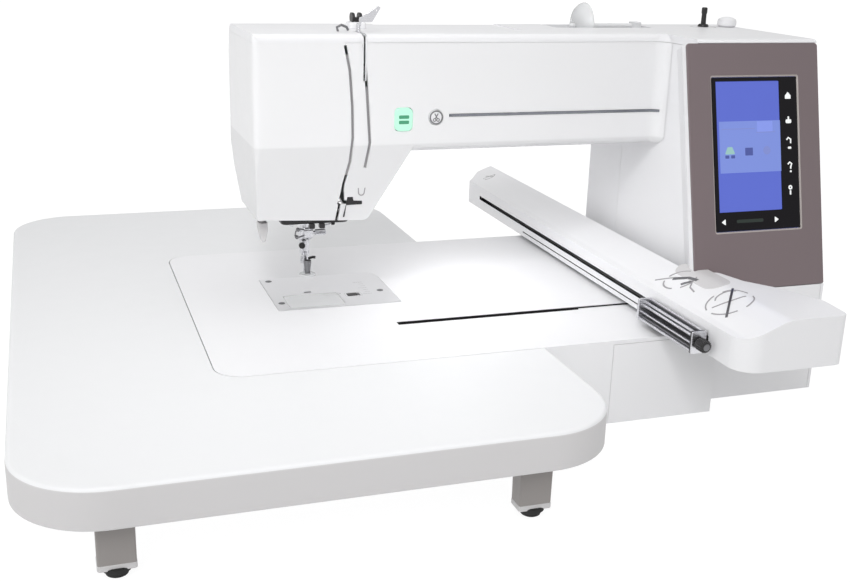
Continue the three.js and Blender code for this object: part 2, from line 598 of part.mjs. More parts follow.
// Upper shaft with its crank and two pulleys in one turning group.
function addShafts() {
  const centre = [0, SHAFT.y, SHAFT.z];
  const upper = join(
    cylinder('x', centre, SHAFT.radius, -80, 344),
    cylinder('x', centre, 22, -84, -77, 28),
    cylinder('x', [0, SHAFT.y, SHAFT.z + 15], 3, -88, -83, 12),
    cylinder('x', centre, PULLEY.radius, ...PULLEY.x, 28),
    cylinder('x', centre, DRIVE_PULLEY.radius, ...DRIVE_PULLEY.x, 32),
  );
  node(machine, 'upper_shaft', upper, STEEL);
  const wheel = turned('x', centre, [
    [0, 344.4], [20, 344.4], [HANDWHEEL.radius - 4, 345], [HANDWHEEL.radius, 349],
    [HANDWHEEL.radius, COLUMN.right + HANDWHEEL.proud - 3],
    [HANDWHEEL.radius - 3, COLUMN.right + HANDWHEEL.proud],
    [12, COLUMN.right + HANDWHEEL.proud], [10, COLUMN.right + HANDWHEEL.proud - 2],
    [0, COLUMN.right + HANDWHEEL.proud - 2],
  ], 40);
  node(machine, 'handwheel', wheel, TABLE_WHITE);
  const low = [0, LOWER_SHAFT.y, LOWER_SHAFT.z];
  const lower = join(
    cylinder('x', low, LOWER_SHAFT.radius, -112, 318, 16),
    cylinder('x', low, 12, NEEDLE.x - 6, NEEDLE.x + 6, 24),
    cylinder('x', low, PULLEY.radius, ...PULLEY.x, 28),
  );
  node(machine, 'lower_shaft', lower, STEEL);
  const loop = belt([SHAFT.y, SHAFT.z, PULLEY.radius], [LOWER_SHAFT.y, LOWER_SHAFT.z, PULLEY.radius - 0.01],
    301, 313, 2);
  node(machine, 'timing_belt', loop, RUBBER);
}

function addMotor() {
  const body = join(
    cylinder('x', [0, MOTOR.y, MOTOR.z], MOTOR.radius, 244, 312, 28),
    cylinder('x', [0, MOTOR.y, MOTOR.z], 3, 311, 322, 12),
    box([304, 309], [MOTOR.y - 30, MOTOR.y + 30], [MOTOR.z - 34, MOTOR.z + 34]),
  );
  node(machine, 'main_motor', body, COPPER);
  const pulley = join(
    cylinder('x', [0, MOTOR.y, MOTOR.z], MOTOR.pulley, 323, 334, 16),
    cylinder('x', [0, MOTOR.y, MOTOR.z], MOTOR.pulley + 2.5, 334, 336, 16),
  );
  node(machine, 'motor_pulley', pulley, STEEL);
}

// ---------- needle, presser and hook ----------
const FOOT_BOTTOM = 94.5;
const CLAMP_Z = [129.5, 141];

function addNeedleBar() {
  const at = [NEEDLE.x, 0, 0];
  const bar = join(
    cylinder('z', at, 3.5, CLAMP_Z[1] - 1, 312, 16),
    cylinder('z', at, 5.5, ...CLAMP_Z, 16),
    cylinder('x', [0, 0, (CLAMP_Z[0] + CLAMP_Z[1]) / 2], 2.4, NEEDLE.x + 3, NEEDLE.x + 14, 12),
  );
  node(machine, 'needle_bar', bar, STEEL);
  const needle = turned('z', at,
    [[0, NEEDLE.tip], [0.6, NEEDLE.tip + 4], [0.8, 120], [1.1, CLAMP_Z[0] - 0.3], [0, CLAMP_Z[0] - 0.3]], 8);
  node(machine, 'needle', needle, STEEL);
  const presser = cylinder('z', [NEEDLE.x, PRESSER_Y, 0], 4, 126.4, 290, 16);
  node(machine, 'presser_bar', presser, STEEL);
  const ring = turned('z', at,
    [[3, FOOT_BOTTOM], [8, FOOT_BOTTOM], [8, FOOT_BOTTOM + 2.4],
      [3, FOOT_BOTTOM + 2.4], [3, FOOT_BOTTOM]], 20);
  const foot = join(
    ring,
    box([NEEDLE.x - 2.5, NEEDLE.x + 2.5], [6.5, 12], [FOOT_BOTTOM, 112]),
    box([NEEDLE.x - 4, NEEDLE.x + 4], [8.5, 19], [108, 126]),
  );
  node(machine, 'embroidery_foot', foot, BLACK);
  const pivot = [46, 196];
  const lever = join(
    prism('x', [[40, 192], [72, 160], [79, 163], [81, 167], [50, 201], [44, 202]], NEEDLE.x - 4,
      NEEDLE.x + 4),
    cylinder('x', [0, ...pivot], 7, NEEDLE.x - 4, NEEDLE.x + 4, 16),
  );
  node(machine, 'presser_lifter', lever, BLACK);
}

// The thread guide on the roof: two cheeks on a base.
const GUIDE = { x: [-52, -43], y: [-4, 8] };

// The take-up lever stands out of the head's roof at the top of its stroke.
function addTakeUp() {
  const { x, y, z, thick } = TAKE_UP;
  const blade = [[y - 5, z], [y + 5, z], [y - 7, 327], [y - 13, 327], [y - 17, 315]];
  const hook = [
    [x - thick / 2, 325], [x + thick / 2, 325], [x + thick / 2, 328.5], [x + 6, 328.5],
    [x + 16, 340], [x + 12, 342], [x - thick / 2, 331],
  ];
  const lever = join(
    prism('x', blade, x - thick / 2, x + thick / 2),
    prism('y', hook, y - 13, y - 13 + thick),
    cylinder('x', [0, y, z], 6, x - 2.6, x + 2.6, 16),
  ).subtract(cylinder('x', [0, y, z], 3.35, x - 6, x + 6, 12));
  node(machine, 'take_up_lever', lever, STEEL);
  const [left, right] = GUIDE.x;
  const eyelet = join(
    box(GUIDE.x, GUIDE.y, [ARM.top + 0.3, ARM.top + 6]),
    cylinder('x', [0, 2, ARM.top + 8], 5.5, left, left + 1.8, 16),
    cylinder('x', [0, 2, ARM.top + 8], 2, left + 1, right - 1, 12),
    cylinder('x', [0, 2, ARM.top + 8], 5.5, right - 1.8, right, 16),
  );
  node(machine, 'upper_thread_guide', eyelet, BLACK);
  const threader = join(
    cylinder('z', [-141, -35, 0], 2.5, 156, 226, 12),
    box([-145, -137], [-42, -29], [140, 158]),
  );
  node(machine, 'needle_threader_lever', threader, WHITE);
}

function addHook() {
  const centre = [NEEDLE.x, HOOK.y, 0];
  const hook = turned('z', centre, [
    [0, 14], [4, 14], [4, 24], [11, 24], [11, 36], [4, 36], [4, 49], [HOOK.radius, 49],
    [HOOK.radius, 65], [14.6, 65], [14.6, 52], [0, 52],
  ], 28);
  node(machine, 'rotary_hook', hook, STEEL);
  const holder = turned('z', centre, [
    [0, 52.5], [14, 52.5], [14, 65.4], [15.8, 65.4], [15.8, 67], [11.6, 67], [11.6, 54.4], [0, 54.4],
  ], 28);
  node(machine, 'bobbin_holder', holder, BLACK);
  const bobbin = turned('z', centre, [
    [3, 55], [10.8, 55], [10.8, 56], [5, 56], [5, 64.4], [10.8, 64.4], [10.8, 65.4], [3, 65.4], [3, 55],
  ], 20);
  node(machine, 'bobbin', bobbin, CLEAR);
}

// ---------- buttons and trim on the arm's front ----------
function addArmDetails() {
  const start = prism('y', startButtonOutline(0), ARM.front - 1, ARM.front + 5);
  node(machine, 'start_stop_button', start, GREEN);
  const cutter = cylinder('y', [BUTTON_CUTTER.x, 0, BUTTON_CUTTER.z], BUTTON_CUTTER.radius, ARM.front - 1,
    ARM.front + 5, 20);
  node(machine, 'thread_cutter_button', cutter, TABLE_WHITE);
  node(machine, 'arm_trim_strip', trimBody(0), STEEL);
}

// ---------- thread supply on top ----------
function addTopParts() {
  const pin = join(
    cylinder('x', [0, SPOOL.y, SPOOL.z], 2.5, 176, 246, 12),
    box([243, 252], [SPOOL.y - 6, SPOOL.y + 6], [297, SPOOL.z + 4]),
  );
  node(machine, 'spool_pin', pin, TABLE_WHITE);
  const cap = turned('x', [0, SPOOL.y, SPOOL.z], [
    [2.8, 181], [14, 182], [SPOOL.cap - 2, 186], [SPOOL.cap, 190], [SPOOL.cap, 192], [2.8, 192], [2.8, 181],
  ], 28);
  node(machine, 'spool_cap', cap, CLEAR);
  const spindle = join(
    cylinder('z', [317.8, 20, 0], 4.5, ARM.top + 0.4, ARM.top + 3, 16),
    cylinder('z', [317.8, 20, 0], 2.8, ARM.top + 2, ARM.top + 19, 12),
  );
  node(machine, 'bobbin_winder_spindle', spindle, BLACK);
  const stopper = turned('z', [345, 20, 0],
    [[0, ARM.top + 0.3], [8, ARM.top + 0.3], [9.5, ARM.top + 4], [8, ARM.top + 9], [0, ARM.top + 10]], 20);
  node(machine, 'bobbin_winder_stopper', stopper, WHITE);
}

// ---------- embroidery arm and its drives ----------
const embroideryOutline = rounded([
  [EMB.left, EMB.front, 20], [277, EMB.front, 8], [EMB_WING, -261, 10], [262, -220], [246, -198, 10],
  [238, -170, 5], [EMB.right, -168], [EMB.right, EMB.back, 3], [EMB.left + 18, EMB.back],
  [EMB.left, EMB.back - 20],
], 4);
const embroideryProfile = [
  [EMB.left - 5, EMB.bottom], [EMB_WING + 5, EMB.bottom], [EMB_WING + 5, EMB.top], [222, EMB.top],
  [205, 118], [188, 110.5], [EMB.left - 5, 108],
];

function embroideryBody(margin) {
  const plan = prism('z', inset(embroideryOutline, margin), EMB.bottom, EMB.top);
  const section = prism('y', inset(embroideryProfile, margin), -400, 400);
  return plan.intersect(section);
}

const CARRIAGE = { y: [-250, -160], z: [84, 102], x: [167, 179.5], neck: [-225, -185] };

function addEmbroideryArm() {
  const pocket = join(
    embroideryBody(WALL),
    embroideryBody(WALL).translate(0, 0, -5),
  );
  const slot = box([EMB.left - 2, EMB.left + 4], [-250, 245], [92.5, 98.5]);
  node(machine, 'embroidery_arm_cover', embroideryBody(0).subtract(pocket).subtract(slot), WHITE);
  const inner = [EMB.left + WALL + GAP, EMB.right - WALL - GAP];
  const base = join(
    box([inner[0], inner[1]], [EMB.front + 22, EMB.back - 22], [84.5, 87]),
    box([191.6, 212], [EMB.front + 26, EMB.back - 24], [79.6, 84.6]),
  );
  node(machine, 'embroidery_arm_base', base, TABLE_WHITE);
  const rail = join(
    cylinder('y', [202, 0, 103], 4, -268, 288, 12),
    box([196, 208], [-268, -262], [87.3, 108]),
    box([196, 208], [282, 288], [87.3, 108]),
  );
  node(machine, 'y_guide_rail', rail, STEEL);
  const carriage = join(
    box(CARRIAGE.x, CARRIAGE.y, CARRIAGE.z).subtract(box([164, 172], [-245, -165], [88, 98])),
    box([178, 196], CARRIAGE.neck, [93, 98]),
    box([194, 210], CARRIAGE.neck, [90, 109.5]),
  ).subtract(cylinder('y', [202, 0, 103], 4.35, -300, 0, 12));
  node(machine, 'hoop_carriage', carriage, STEEL);
  const knob = cylinder('y', [173, 0, 93], 7, CARRIAGE.y[0] - 12, CARRIAGE.y[0] - GAP, 20);
  node(machine, 'hoop_clamp_knob', knob, BLACK);
}

function addCrossDrive() {
  const y = SLOT.y;
  const rail = join(
    cylinder('x', [0, y, 45], 5, -46, 226, 16),
    box([-48, -42], [y - 9, y + 9], [floorLevel, 52]),
    box([222, 227], [y - 9, y + 9], [floorLevel, 52]),
  );
  node(machine, 'x_guide_rail', rail, STEEL);
  const carriage = join(
    box([186, 216], [y - 14, y + 14], [36, 57]),
    box([193, 211], [y - 3, y + 3], [56, 79.2]),
    box([SLOT_STRIP.left, 194], [y - 3.2, y + 3.2], SLOT_STRIP.z),
  ).subtract(cylinder('x', [0, y, 45], 5.4, 100, 230, 16));
  node(machine, 'x_carriage', carriage, TABLE_WHITE);
}

// ---------- extension table ----------
function addTable() {
  const outline = rounded([
    [TABLE.left, -TABLE.half, TABLE.corner], [TABLE.right, -TABLE.half, TABLE.corner],
    [TABLE.right, TABLE.half, TABLE.corner], [TABLE.left, TABLE.half, TABLE.corner],
  ], 10);
  const bottom = BED_TOP - TABLE.rim;
  const notch = (grow) => {
    const edge = 0.6 + grow;
    const corner = BED.corner + edge;
    return prism('z', rounded([
      [BED.left - edge, BED.front - edge, corner], [TABLE.right + 10, BED.front - edge],
      [TABLE.right + 10, BED.back + edge], [BED.left - edge, BED.back + edge, corner],
    ]), bottom - 2, BED_TOP + 2);
  };
  const pocket = prism('z', inset(outline, TABLE.wall), bottom - 1, BED_TOP - TABLE.wall)
    .subtract(notch(TABLE.wall));
  let table = prism('z', outline, bottom, BED_TOP).subtract(pocket).subtract(notch(0));
  for (const x of LEG.x) {
    for (const y of [-LEG.y, LEG.y]) {
      for (const side of [-1, 1]) {
        const inner = LEG.width / 2 + 0.5;
        const lugX = side > 0 ? [x + inner, x + inner + 4] : [x - inner - 4, x - inner];
        table = table.add(box(lugX, [y - 8, y + 8], [LEG.pivot - 7, BED_TOP - TABLE.wall + 0.5]));
      }
      table = table.subtract(cylinder('x', [0, y, LEG.pivot], 2.8, x - 30, x + 30, 12));
    }
  }
  node(machine, 'extension_table', table, TABLE_WHITE);
  const names = ['left', 'right'];
  LEG.x.forEach((x, i) => {
    for (const [place, y] of [['front', -LEG.y], ['rear', LEG.y]]) {
      const leg = join(
        box([x - LEG.width / 2, x + LEG.width / 2], [y - LEG.depth / 2, y + LEG.depth / 2],
          [6, LEG.pivot + 6]),
        cylinder('z', [x, y, 0], LEG.footRadius, 0, 7, 20),
        cylinder('x', [0, y, LEG.pivot], 2.4, x - LEG.width / 2 - 4, x + LEG.width / 2 + 4, 12),
      );
      node(machine, `table_leg_${place}_${names[i]}`, leg, TABLE_WHITE);
    }
  });
}

addBase();
addBedCover();
addNeedlePlate();
addArmShells();
addColumnShells();
addControlPanel();
addSockets();
addFrame();
addShafts();
addMotor();
addNeedleBar();
addTakeUp();
addHook();
addArmDetails();
addTopParts();
addEmbroideryArm();
addCrossDrive();
addTable();

export default machine;
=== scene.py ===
"""Embroidery machine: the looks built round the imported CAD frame.

Metres. +X runs along the arm to the column, +Y away from the operator, +Z up.
Shapes are drawn in millimetres from the boxes of the CAD nodes, and MM turns them into metres.
"""

import json
import math

import bmesh
import bpy
from mathutils import Matrix, Vector


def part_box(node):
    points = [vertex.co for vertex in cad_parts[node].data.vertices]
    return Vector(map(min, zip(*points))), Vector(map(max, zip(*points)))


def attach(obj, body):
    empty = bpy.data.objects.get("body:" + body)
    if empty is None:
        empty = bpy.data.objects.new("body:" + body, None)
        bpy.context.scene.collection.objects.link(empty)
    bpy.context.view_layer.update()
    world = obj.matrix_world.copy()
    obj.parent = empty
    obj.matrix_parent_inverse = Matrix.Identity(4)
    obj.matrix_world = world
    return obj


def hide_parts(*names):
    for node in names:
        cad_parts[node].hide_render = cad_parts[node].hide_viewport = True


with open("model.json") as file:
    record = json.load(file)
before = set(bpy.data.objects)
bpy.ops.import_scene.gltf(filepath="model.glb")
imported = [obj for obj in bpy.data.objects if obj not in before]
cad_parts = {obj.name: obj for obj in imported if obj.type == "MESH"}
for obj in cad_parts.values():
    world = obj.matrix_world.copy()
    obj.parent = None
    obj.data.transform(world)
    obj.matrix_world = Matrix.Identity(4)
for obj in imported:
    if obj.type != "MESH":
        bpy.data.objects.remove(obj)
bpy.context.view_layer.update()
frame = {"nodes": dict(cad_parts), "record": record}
nodes = frame["nodes"]
looks = {}
MM = 0.001

# ---------- camera ----------
CAMERA_PLACE = (-0.32323, -0.98588, 0.40447)
CAMERA_YAW = math.radians(-19.098)
CAMERA_PITCH = math.radians(-17.778)
CAMERA_ROLL = math.radians(1.69)
CAMERA_LENS = 47.64   # on the default 36 mm sensor


def add_camera():
    data = bpy.data.cameras.new("camera")
    data.lens = CAMERA_LENS
    data.clip_start = 0.01
    data.clip_end = 50
    camera = bpy.data.objects.new("camera", data)
    turn = Matrix.Rotation(CAMERA_YAW, 4, "Z") @ Matrix.Rotation(math.pi / 2 + CAMERA_PITCH, 4, "X")
    camera.matrix_world = Matrix.Translation(CAMERA_PLACE) @ turn @ Matrix.Rotation(CAMERA_ROLL, 4, "Z")
    bpy.context.scene.collection.objects.link(camera)
    bpy.context.scene.camera = camera


# ---------- studio ----------
FLOOR_HALF = 16.0
FLOOR_GLOW = 0.92
WORLD_BELOW = 1.0
WORLD_HORIZON = 0.53
WORLD_ABOVE = 0.97
WORLD_SEEN = 1.0      # what the camera sees past the floor
LIGHTS = {            # place, target, size, power, spread in degrees
    "key_light": ((-1.0, -1.8, 1.5), (-0.05, 0.0, 0.15), (0.8, 0.8), 5.2, 120),
    "side_fill": ((-2.0, -0.4, 0.7), (0.0, 0.0, 0.15), (1.0, 0.7), 1.9, 120),
    "arm_light": ((0.04, -0.02, 0.205), (0.08, -0.04, 0.0), (0.2, 0.05), 0.09, 150),
    "bed_light": ((-0.5, -0.9, 1.2), (-0.04, -0.08, 0.08), (0.3, 0.3), 0.45, 45),
}


def area_light(name, place, target, size, power, spread):
    data = bpy.data.lights.new(name, "AREA")
    data.shape = "RECTANGLE"
    data.size, data.size_y = size
    data.energy = power
    data.spread = math.radians(spread)
    light = bpy.data.objects.new(name, data)
    light.location = place
    aim = Vector(target) - Vector(place)
    light.rotation_euler = aim.to_track_quat("-Z", "Y").to_euler()
    bpy.context.scene.collection.objects.link(light)


def add_node(tree, kind, **values):
    """A shader node with values set on its input sockets."""
    node = tree.nodes.new("ShaderNode" + kind)
    for socket, value in values.items():
        node.inputs[socket.replace("_", " ")].default_value = value
    return node


def add_world():
    """A soft dome, brighter overhead, in front of a plain white backdrop."""
    world = bpy.data.worlds.new("studio")
    world.use_nodes = True
    tree = world.node_tree
    link = tree.links.new
    dome = tree.nodes["Background"]
    split = add_node(tree, "SeparateXYZ")
    link(add_node(tree, "TexCoord").outputs["Generated"], split.inputs["Vector"])
    height = add_node(tree, "MapRange", From_Min=-1.0)
    link(split.outputs["Z"], height.inputs["Value"])
    ramp = add_node(tree, "ValToRGB")
    ramp.color_ramp.elements.new(0.5)
    for element, value in zip(ramp.color_ramp.elements, (WORLD_BELOW, WORLD_HORIZON, WORLD_ABOVE)):
        element.color = (value, value, value, 1.0)
    link(height.outputs["Result"], ramp.inputs["Fac"])
    link(ramp.outputs["Color"], dome.inputs["Color"])
    seen = add_node(tree, "Background", Strength=WORLD_SEEN, Color=(1.0, 1.0, 1.0, 1.0))
    mix = add_node(tree, "MixShader")
    link(add_node(tree, "LightPath").outputs["Is Camera Ray"], mix.inputs["Fac"])
    link(dome.outputs["Background"], mix.inputs[1])
    link(seen.outputs["Background"], mix.inputs[2])
    link(mix.outputs["Shader"], tree.nodes["World Output"].inputs["Surface"])
    bpy.context.scene.world = world


def add_studio():
    bpy.context.scene.view_settings.view_transform = "Standard"
    add_world()
    for name, settings in LIGHTS.items():
        area_light(name, *settings)


def add_floor():
    """A wide pale floor, so bright that shadows hardly show on it, that lights only what is glossy."""
    mesh = bpy.data.meshes.new("floor")
    edge = FLOOR_HALF
    corners = [(-edge, -edge, 0), (edge, -edge, 0), (edge, edge, 0), (-edge, edge, 0)]
    mesh.from_pydata(corners, [], [(0, 1, 2, 3)])
    floor = bpy.data.objects.new("floor", mesh)
    bpy.context.scene.collection.objects.link(floor)
    surface = material("studio_floor", (0.12, 0.12, 0.12), 0.9,
                       Emission_Color=(1.0, 1.0, 1.0, 1.0), Emission_Strength=FLOOR_GLOW)
    floor.data.materials.append(surface)
    floor.visible_diffuse = False


# ---------- materials ----------
CREASE = 225.9 * MM   # height of the crease across the head
# blur of the edge of the painted shade at the crease
PAINTED_SHADE_BLUR = 0.8 * MM


def material(name, colour, roughness, metallic=0.0, **sockets):
    """A Principled material whose sockets are set by their own names."""
    made = bpy.data.materials.new(name)
    made.use_nodes = True
    shader = made.node_tree.nodes["Principled BSDF"]
    shader.inputs["Base Color"].default_value = (*colour, 1.0)
    shader.inputs["Roughness"].default_value = roughness
    shader.inputs["Metallic"].default_value = metallic
    for socket, value in sockets.items():
        shader.inputs[socket.replace("_", " ")].default_value = value
    return made


def noise(made, scale, detail, stretch=(1.0, 1.0, 1.0)):
    """A noise texture over the object's own metres."""
    tree = made.node_tree
    mapping = add_node(tree, "Mapping", Scale=stretch)
    texture = add_node(tree, "TexNoise", Scale=scale, Detail=detail)
    tree.links.new(add_node(tree, "TexCoord").outputs["Object"], mapping.inputs["Vector"])
    tree.links.new(mapping.outputs["Vector"], texture.inputs["Vector"])
    return texture


def spread(made, source, low, high, socket):
    """Feeds a shader socket with a noise value stretched from low to high."""
    tree = made.node_tree
    ramp = add_node(tree, "MapRange", From_Min=0.3, From_Max=0.7, To_Min=low, To_Max=high)
    tree.links.new(source.outputs["Fac"], ramp.inputs["Value"])
    tree.links.new(ramp.outputs["Result"], tree.nodes["Principled BSDF"].inputs[socket])


def tint(made, source, colour, share, socket="Base Color"):
    """Varies a colour between itself and a darker share of it."""
    tree = made.node_tree
    mix = tree.nodes.new("ShaderNodeMix")
    mix.data_type = "RGBA"
    mix.inputs["A"].default_value = (*(c * share for c in colour), 1.0)
    mix.inputs["B"].default_value = (*colour, 1.0)
    tree.links.new(source.outputs["Fac"], mix.inputs["Factor"])
    tree.links.new(mix.outputs["Result"], tree.nodes["Principled BSDF"].inputs[socket])


def grain(made, source, height):
    """Raises the surface by a noise, height in metres."""
    tree = made.node_tree
    bump = add_node(tree, "Bump", Strength=1.0, Distance=height)
    tree.links.new(source.outputs["Fac"], bump.inputs["Height"])
    tree.links.new(bump.outputs["Normal"], tree.nodes["Principled BSDF"].inputs["Normal"])


def moulded(name, colour, roughness, texture=0.00002, shade=0.96, **sockets):
    """Moulded plastic: a fine spark-eroded grain, a slow drift of colour and patchy gloss."""
    made = material(name, colour, roughness, **sockets)
    tint(made, noise(made, 9, 2), colour, shade)
    spread(made, noise(made, 60, 3), roughness * 0.9, roughness * 1.12, "Roughness")
    grain(made, noise(made, 1800, 2), texture)
    return made


def paint_shade_below(made, height, share):
    """Painted shade: darkens a moulding's colour below a crease, standing in for the shade where the face
    leans away from the light.
    """
    tree = made.node_tree
    colour = tree.nodes["Principled BSDF"].inputs["Base Color"]
    split = add_node(tree, "SeparateXYZ")
    tree.links.new(add_node(tree, "TexCoord").outputs["Object"], split.inputs["Vector"])
    shade_step = add_node(tree, "MapRange", From_Min=height - PAINTED_SHADE_BLUR, From_Max=height + PAINTED_SHADE_BLUR,
        To_Min=share)
    tree.links.new(split.outputs["Z"], shade_step.inputs["Value"])
    mix = tree.nodes.new("ShaderNodeMix")
    mix.data_type = "RGBA"
    mix.blend_type = "MULTIPLY"
    mix.inputs["Factor"].default_value = 1.0
    tree.links.new(colour.links[0].from_socket, mix.inputs["A"])
    tree.links.new(shade_step.outputs["Result"], mix.inputs["B"])
    tree.links.new(mix.outputs["Result"], colour)
    return made


def brushed(name, colour, roughness, along=(1.0, 30.0, 30.0), **sockets):
    """Metal with fine brush lines along one direction."""
    made = material(name, colour, roughness, metallic=1.0, **sockets)
    lines = noise(made, 90, 4, along)
    spread(made, lines, roughness * 0.75, roughness * 1.3, "Roughness")
    tint(made, lines, colour, 0.9)
    grain(made, lines, 0.000006)
    return made


def glowing(name, colour, strength, roughness=0.2):
    """A lit display colour with a faint drift of its backlight."""
    made = material(name, tuple(c * 0.3 for c in colour), roughness, Emission_Strength=strength)
    tint(made, noise(made, 25, 2), colour, 0.93, "Emission Color")
    return made


def glossy(name, colour, roughness, **sockets):
    """A polished surface with faint wipe marks in its gloss."""
    made = material(name, colour, roughness, **sockets)
    spread(made, noise(made, 40, 4, (1.0, 1.0, 3.0)), roughness * 0.7, roughness * 1.6, "Roughness")
    return made


LOOKS = {             # how each look is made, and the settings of its maker after the name
    "white_shell": (moulded, (0.80, 0.80, 0.815), 0.38, 0.00002, 0.985),
    "table_plastic": (moulded, (0.76, 0.765, 0.775), 0.5, 0.00003, 0.985),
    # a grey plastic of its own for small parts, and painted shade on the table's rim
    "rim_plastic": (moulded, (0.60, 0.59, 0.595), 0.45, 0.00003, 0.98),
    # the legs' own grey, darkened further as painted shade for the table's shadow over them
    "leg_plastic": (moulded, (0.30, 0.28, 0.27), 0.45, 0.00003, 0.96),
    "taupe_panel": (moulded, (0.178, 0.139, 0.146), 0.42, 0.00002, 0.94),
    "taupe_edge": (moulded, (0.42, 0.38, 0.36), 0.3, 0.00002, 0.95),
    "black_plastic": (moulded, (0.012, 0.011, 0.012), 0.38),
    "display": (glowing, (0.08, 0.115, 0.49), 1.0),
    "display_band": (glowing, (0.16, 0.22, 0.57), 1.0),
    "display_box": (glowing, (0.19, 0.25, 0.66), 1.0),
    "display_dark": (glowing, (0.055, 0.075, 0.27), 1.0),
    "display_green": (glowing, (0.25, 0.44, 0.42), 1.0),
    "display_grey": (glowing, (0.17, 0.21, 0.50), 1.0),
    "icon_white": (glowing, (0.82, 0.84, 0.84), 0.9),
    "icon_dim": (glowing, (0.012, 0.02, 0.016), 1.0),
    "bright_steel": (brushed, (0.72, 0.72, 0.75), 0.26),
    "plate_steel": (brushed, (0.96, 0.96, 0.98), 0.42, (2.0, 40.0, 2.0)),
    "dark_steel": (brushed, (0.24, 0.24, 0.25), 0.35),
    "trim_steel": (brushed, (0.26, 0.27, 0.30), 0.3),
    "rubber": (moulded, (0.015, 0.015, 0.015), 0.8, 0.00005),
    "green_key": (glowing, (0.52, 0.92, 0.72), 0.8, 0.3),
    "green_mark": (glowing, (0.07, 0.42, 0.22), 0.5, 0.3),
    "circuit_board": (moulded, (0.02, 0.14, 0.05), 0.4),
    "motor_casing": (moulded, (0.07, 0.075, 0.08), 0.45, 0.00006),
    # grey print, also used as painted shade inside the thread channels
    "grey_print": (moulded, (0.33, 0.32, 0.33), 0.5),
    "pale_print": (moulded, (0.60, 0.60, 0.61), 0.5),
    "lamp_lens": (glowing, (0.95, 0.96, 1.0), 0.8, 0.3),
}


def make_looks():
    for name, (maker, *settings) in LOOKS.items():
        looks[name] = maker(name, *settings)
    # the head's white, with painted shade below the crease
    head = moulded("head_shell", (0.79, 0.79, 0.80), 0.38, shade=0.985)
    cast = moulded("cast_frame", (0.42, 0.43, 0.44), 0.55, 0.00012, 0.85, metallic=0.9)
    glass = glossy("black_glass", (0.006, 0.005, 0.007), 0.06, Specular_IOR_Level=0.2)
    clear = glossy("clear_plastic", (0.86, 0.87, 0.88), 0.18, Transmission_Weight=0.35)
    looks.update(head_shell=paint_shade_below(head, CREASE, 0.9), cast_frame=cast, black_glass=glass,
                 clear_plastic=clear)


# ---------- shapes, drawn in millimetres ----------
class Box:
    """A CAD node's box at rest in millimetres, or in the axes of a turned drawing."""

    def __init__(self, node, placed=None):
        low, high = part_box(node)
        corners = [Vector(low) / MM, Vector(high) / MM]
        if placed:
            back = placed.inverted()
            points = [back @ (vertex.co / MM) for vertex in nodes[node].data.vertices]
            corners = [Vector(map(limit, zip(*points))) for limit in (min, max)]
        self.left, self.front, self.bottom = corners[0]
        self.right, self.back, self.top = corners[1]
        self.x, self.y, self.z = (corners[0] + corners[1]) / 2


def outline(corners, inset=0.0, steps=8):
    """Anticlockwise corners (a, b, radius) as points, moved inwards, with every corner an arc."""
    points = []
    count = len(corners)
    for i, (a, b, radius) in enumerate(corners):
        here = Vector((a, b))
        before = (here - Vector(corners[i - 1][:2])).normalized()
        after = (Vector(corners[(i + 1) % count][:2]) - here).normalized()
        turn = math.atan2(before.x * after.y - before.y * after.x, before.dot(after))
        inwards = Vector((-before.y, before.x)) + Vector((-after.y, after.x))
        corner = here + inwards.normalized() * inset / math.cos(turn / 2)
        bend = max(radius - math.copysign(inset, turn), 0.05)
        start = corner - before * bend * math.tan(abs(turn) / 2)
        centre = start + Vector((-before.y, before.x)) * math.copysign(bend, turn)
        for k in range(steps + 1):
            points.append(centre + Matrix.Rotation(turn * k / steps, 2) @ (start - centre))
    return points


def rectangle(left, right, low, high, radius):
    return [(left, low, radius), (right, low, radius), (right, high, radius), (left, high, radius)]


def to_axis(axis, a, b, along):
    """The point (a, b) of a drawing, that far along the axis the drawing looks down."""
    return {"x": (along, a, b), "y": (a, along, b), "z": (a, b, along)}[axis]


def rounding(radius, steps):
    """Inset and drop of each ring of a rounded edge, from the side to the end face."""
    turns = [math.pi / 2 * k / steps for k in range(steps + 1)]
    return [(radius * (1 - math.cos(t)), radius * (1 - math.sin(t))) for t in turns]


def from_end(start, profile):
    """A profile of (radius, distance) with its distances counted from one end of a part."""
    return [(radius, start + distance) for radius, distance in profile]


def crossed(axis, points, low, high):
    """A solid with sharp edges: one drawing carried from one plane to another."""
    return loft([[to_axis(axis, *point, along) for point in points] for along in (low, high)])


def slab(axis, corners, low, high, round_low=0.6, round_high=0.6, steps=8, edge_steps=4):
    """A solid of one outline between two planes, with rounded edges."""
    profile = [(inset, low + drop) for inset, drop in reversed(rounding(round_low, edge_steps))]
    profile += [(inset, high - drop) for inset, drop in rounding(round_high, edge_steps)]
    return loft([[to_axis(axis, *point, along) for point in outline(corners, inset, steps)]
                 for inset, along in profile])


def loft(rings, closed=False):
    """A mesh through rings of points; its two ends are capped unless the rings close on themselves."""
    made = bmesh.new()
    loops = [[made.verts.new(point) for point in ring] for ring in rings]
    pairs = list(zip(loops, loops[1:]))
    if closed:
        pairs.append((loops[-1], loops[0]))
    for one, other in pairs:
        for i in range(len(one)):
            made.faces.new((one[i - 1], one[i], other[i], other[i - 1]))
    if not closed:
        made.faces.new(loops[0])
        made.faces.new(loops[-1])
    bmesh.ops.recalc_face_normals(made, faces=made.faces)
    return made


def turned(axis, centre, profile, steps=32, teeth=0, depth=0.0):
    """A turned solid: profile (radius, along) from one end to the other, ridged if it has teeth."""
    rings = []
    for radius, along in profile:
        spot = []
        for k in range(steps):
            angle = 2 * math.pi * k / steps
            reach = radius - depth * (0.5 + 0.5 * math.cos(teeth * angle)) if teeth else radius
            place = to_axis(axis, reach * math.cos(angle), reach * math.sin(angle), along)
            spot.append(Vector(place) + Vector(centre))
        rings.append(spot)
    return loft(rings)


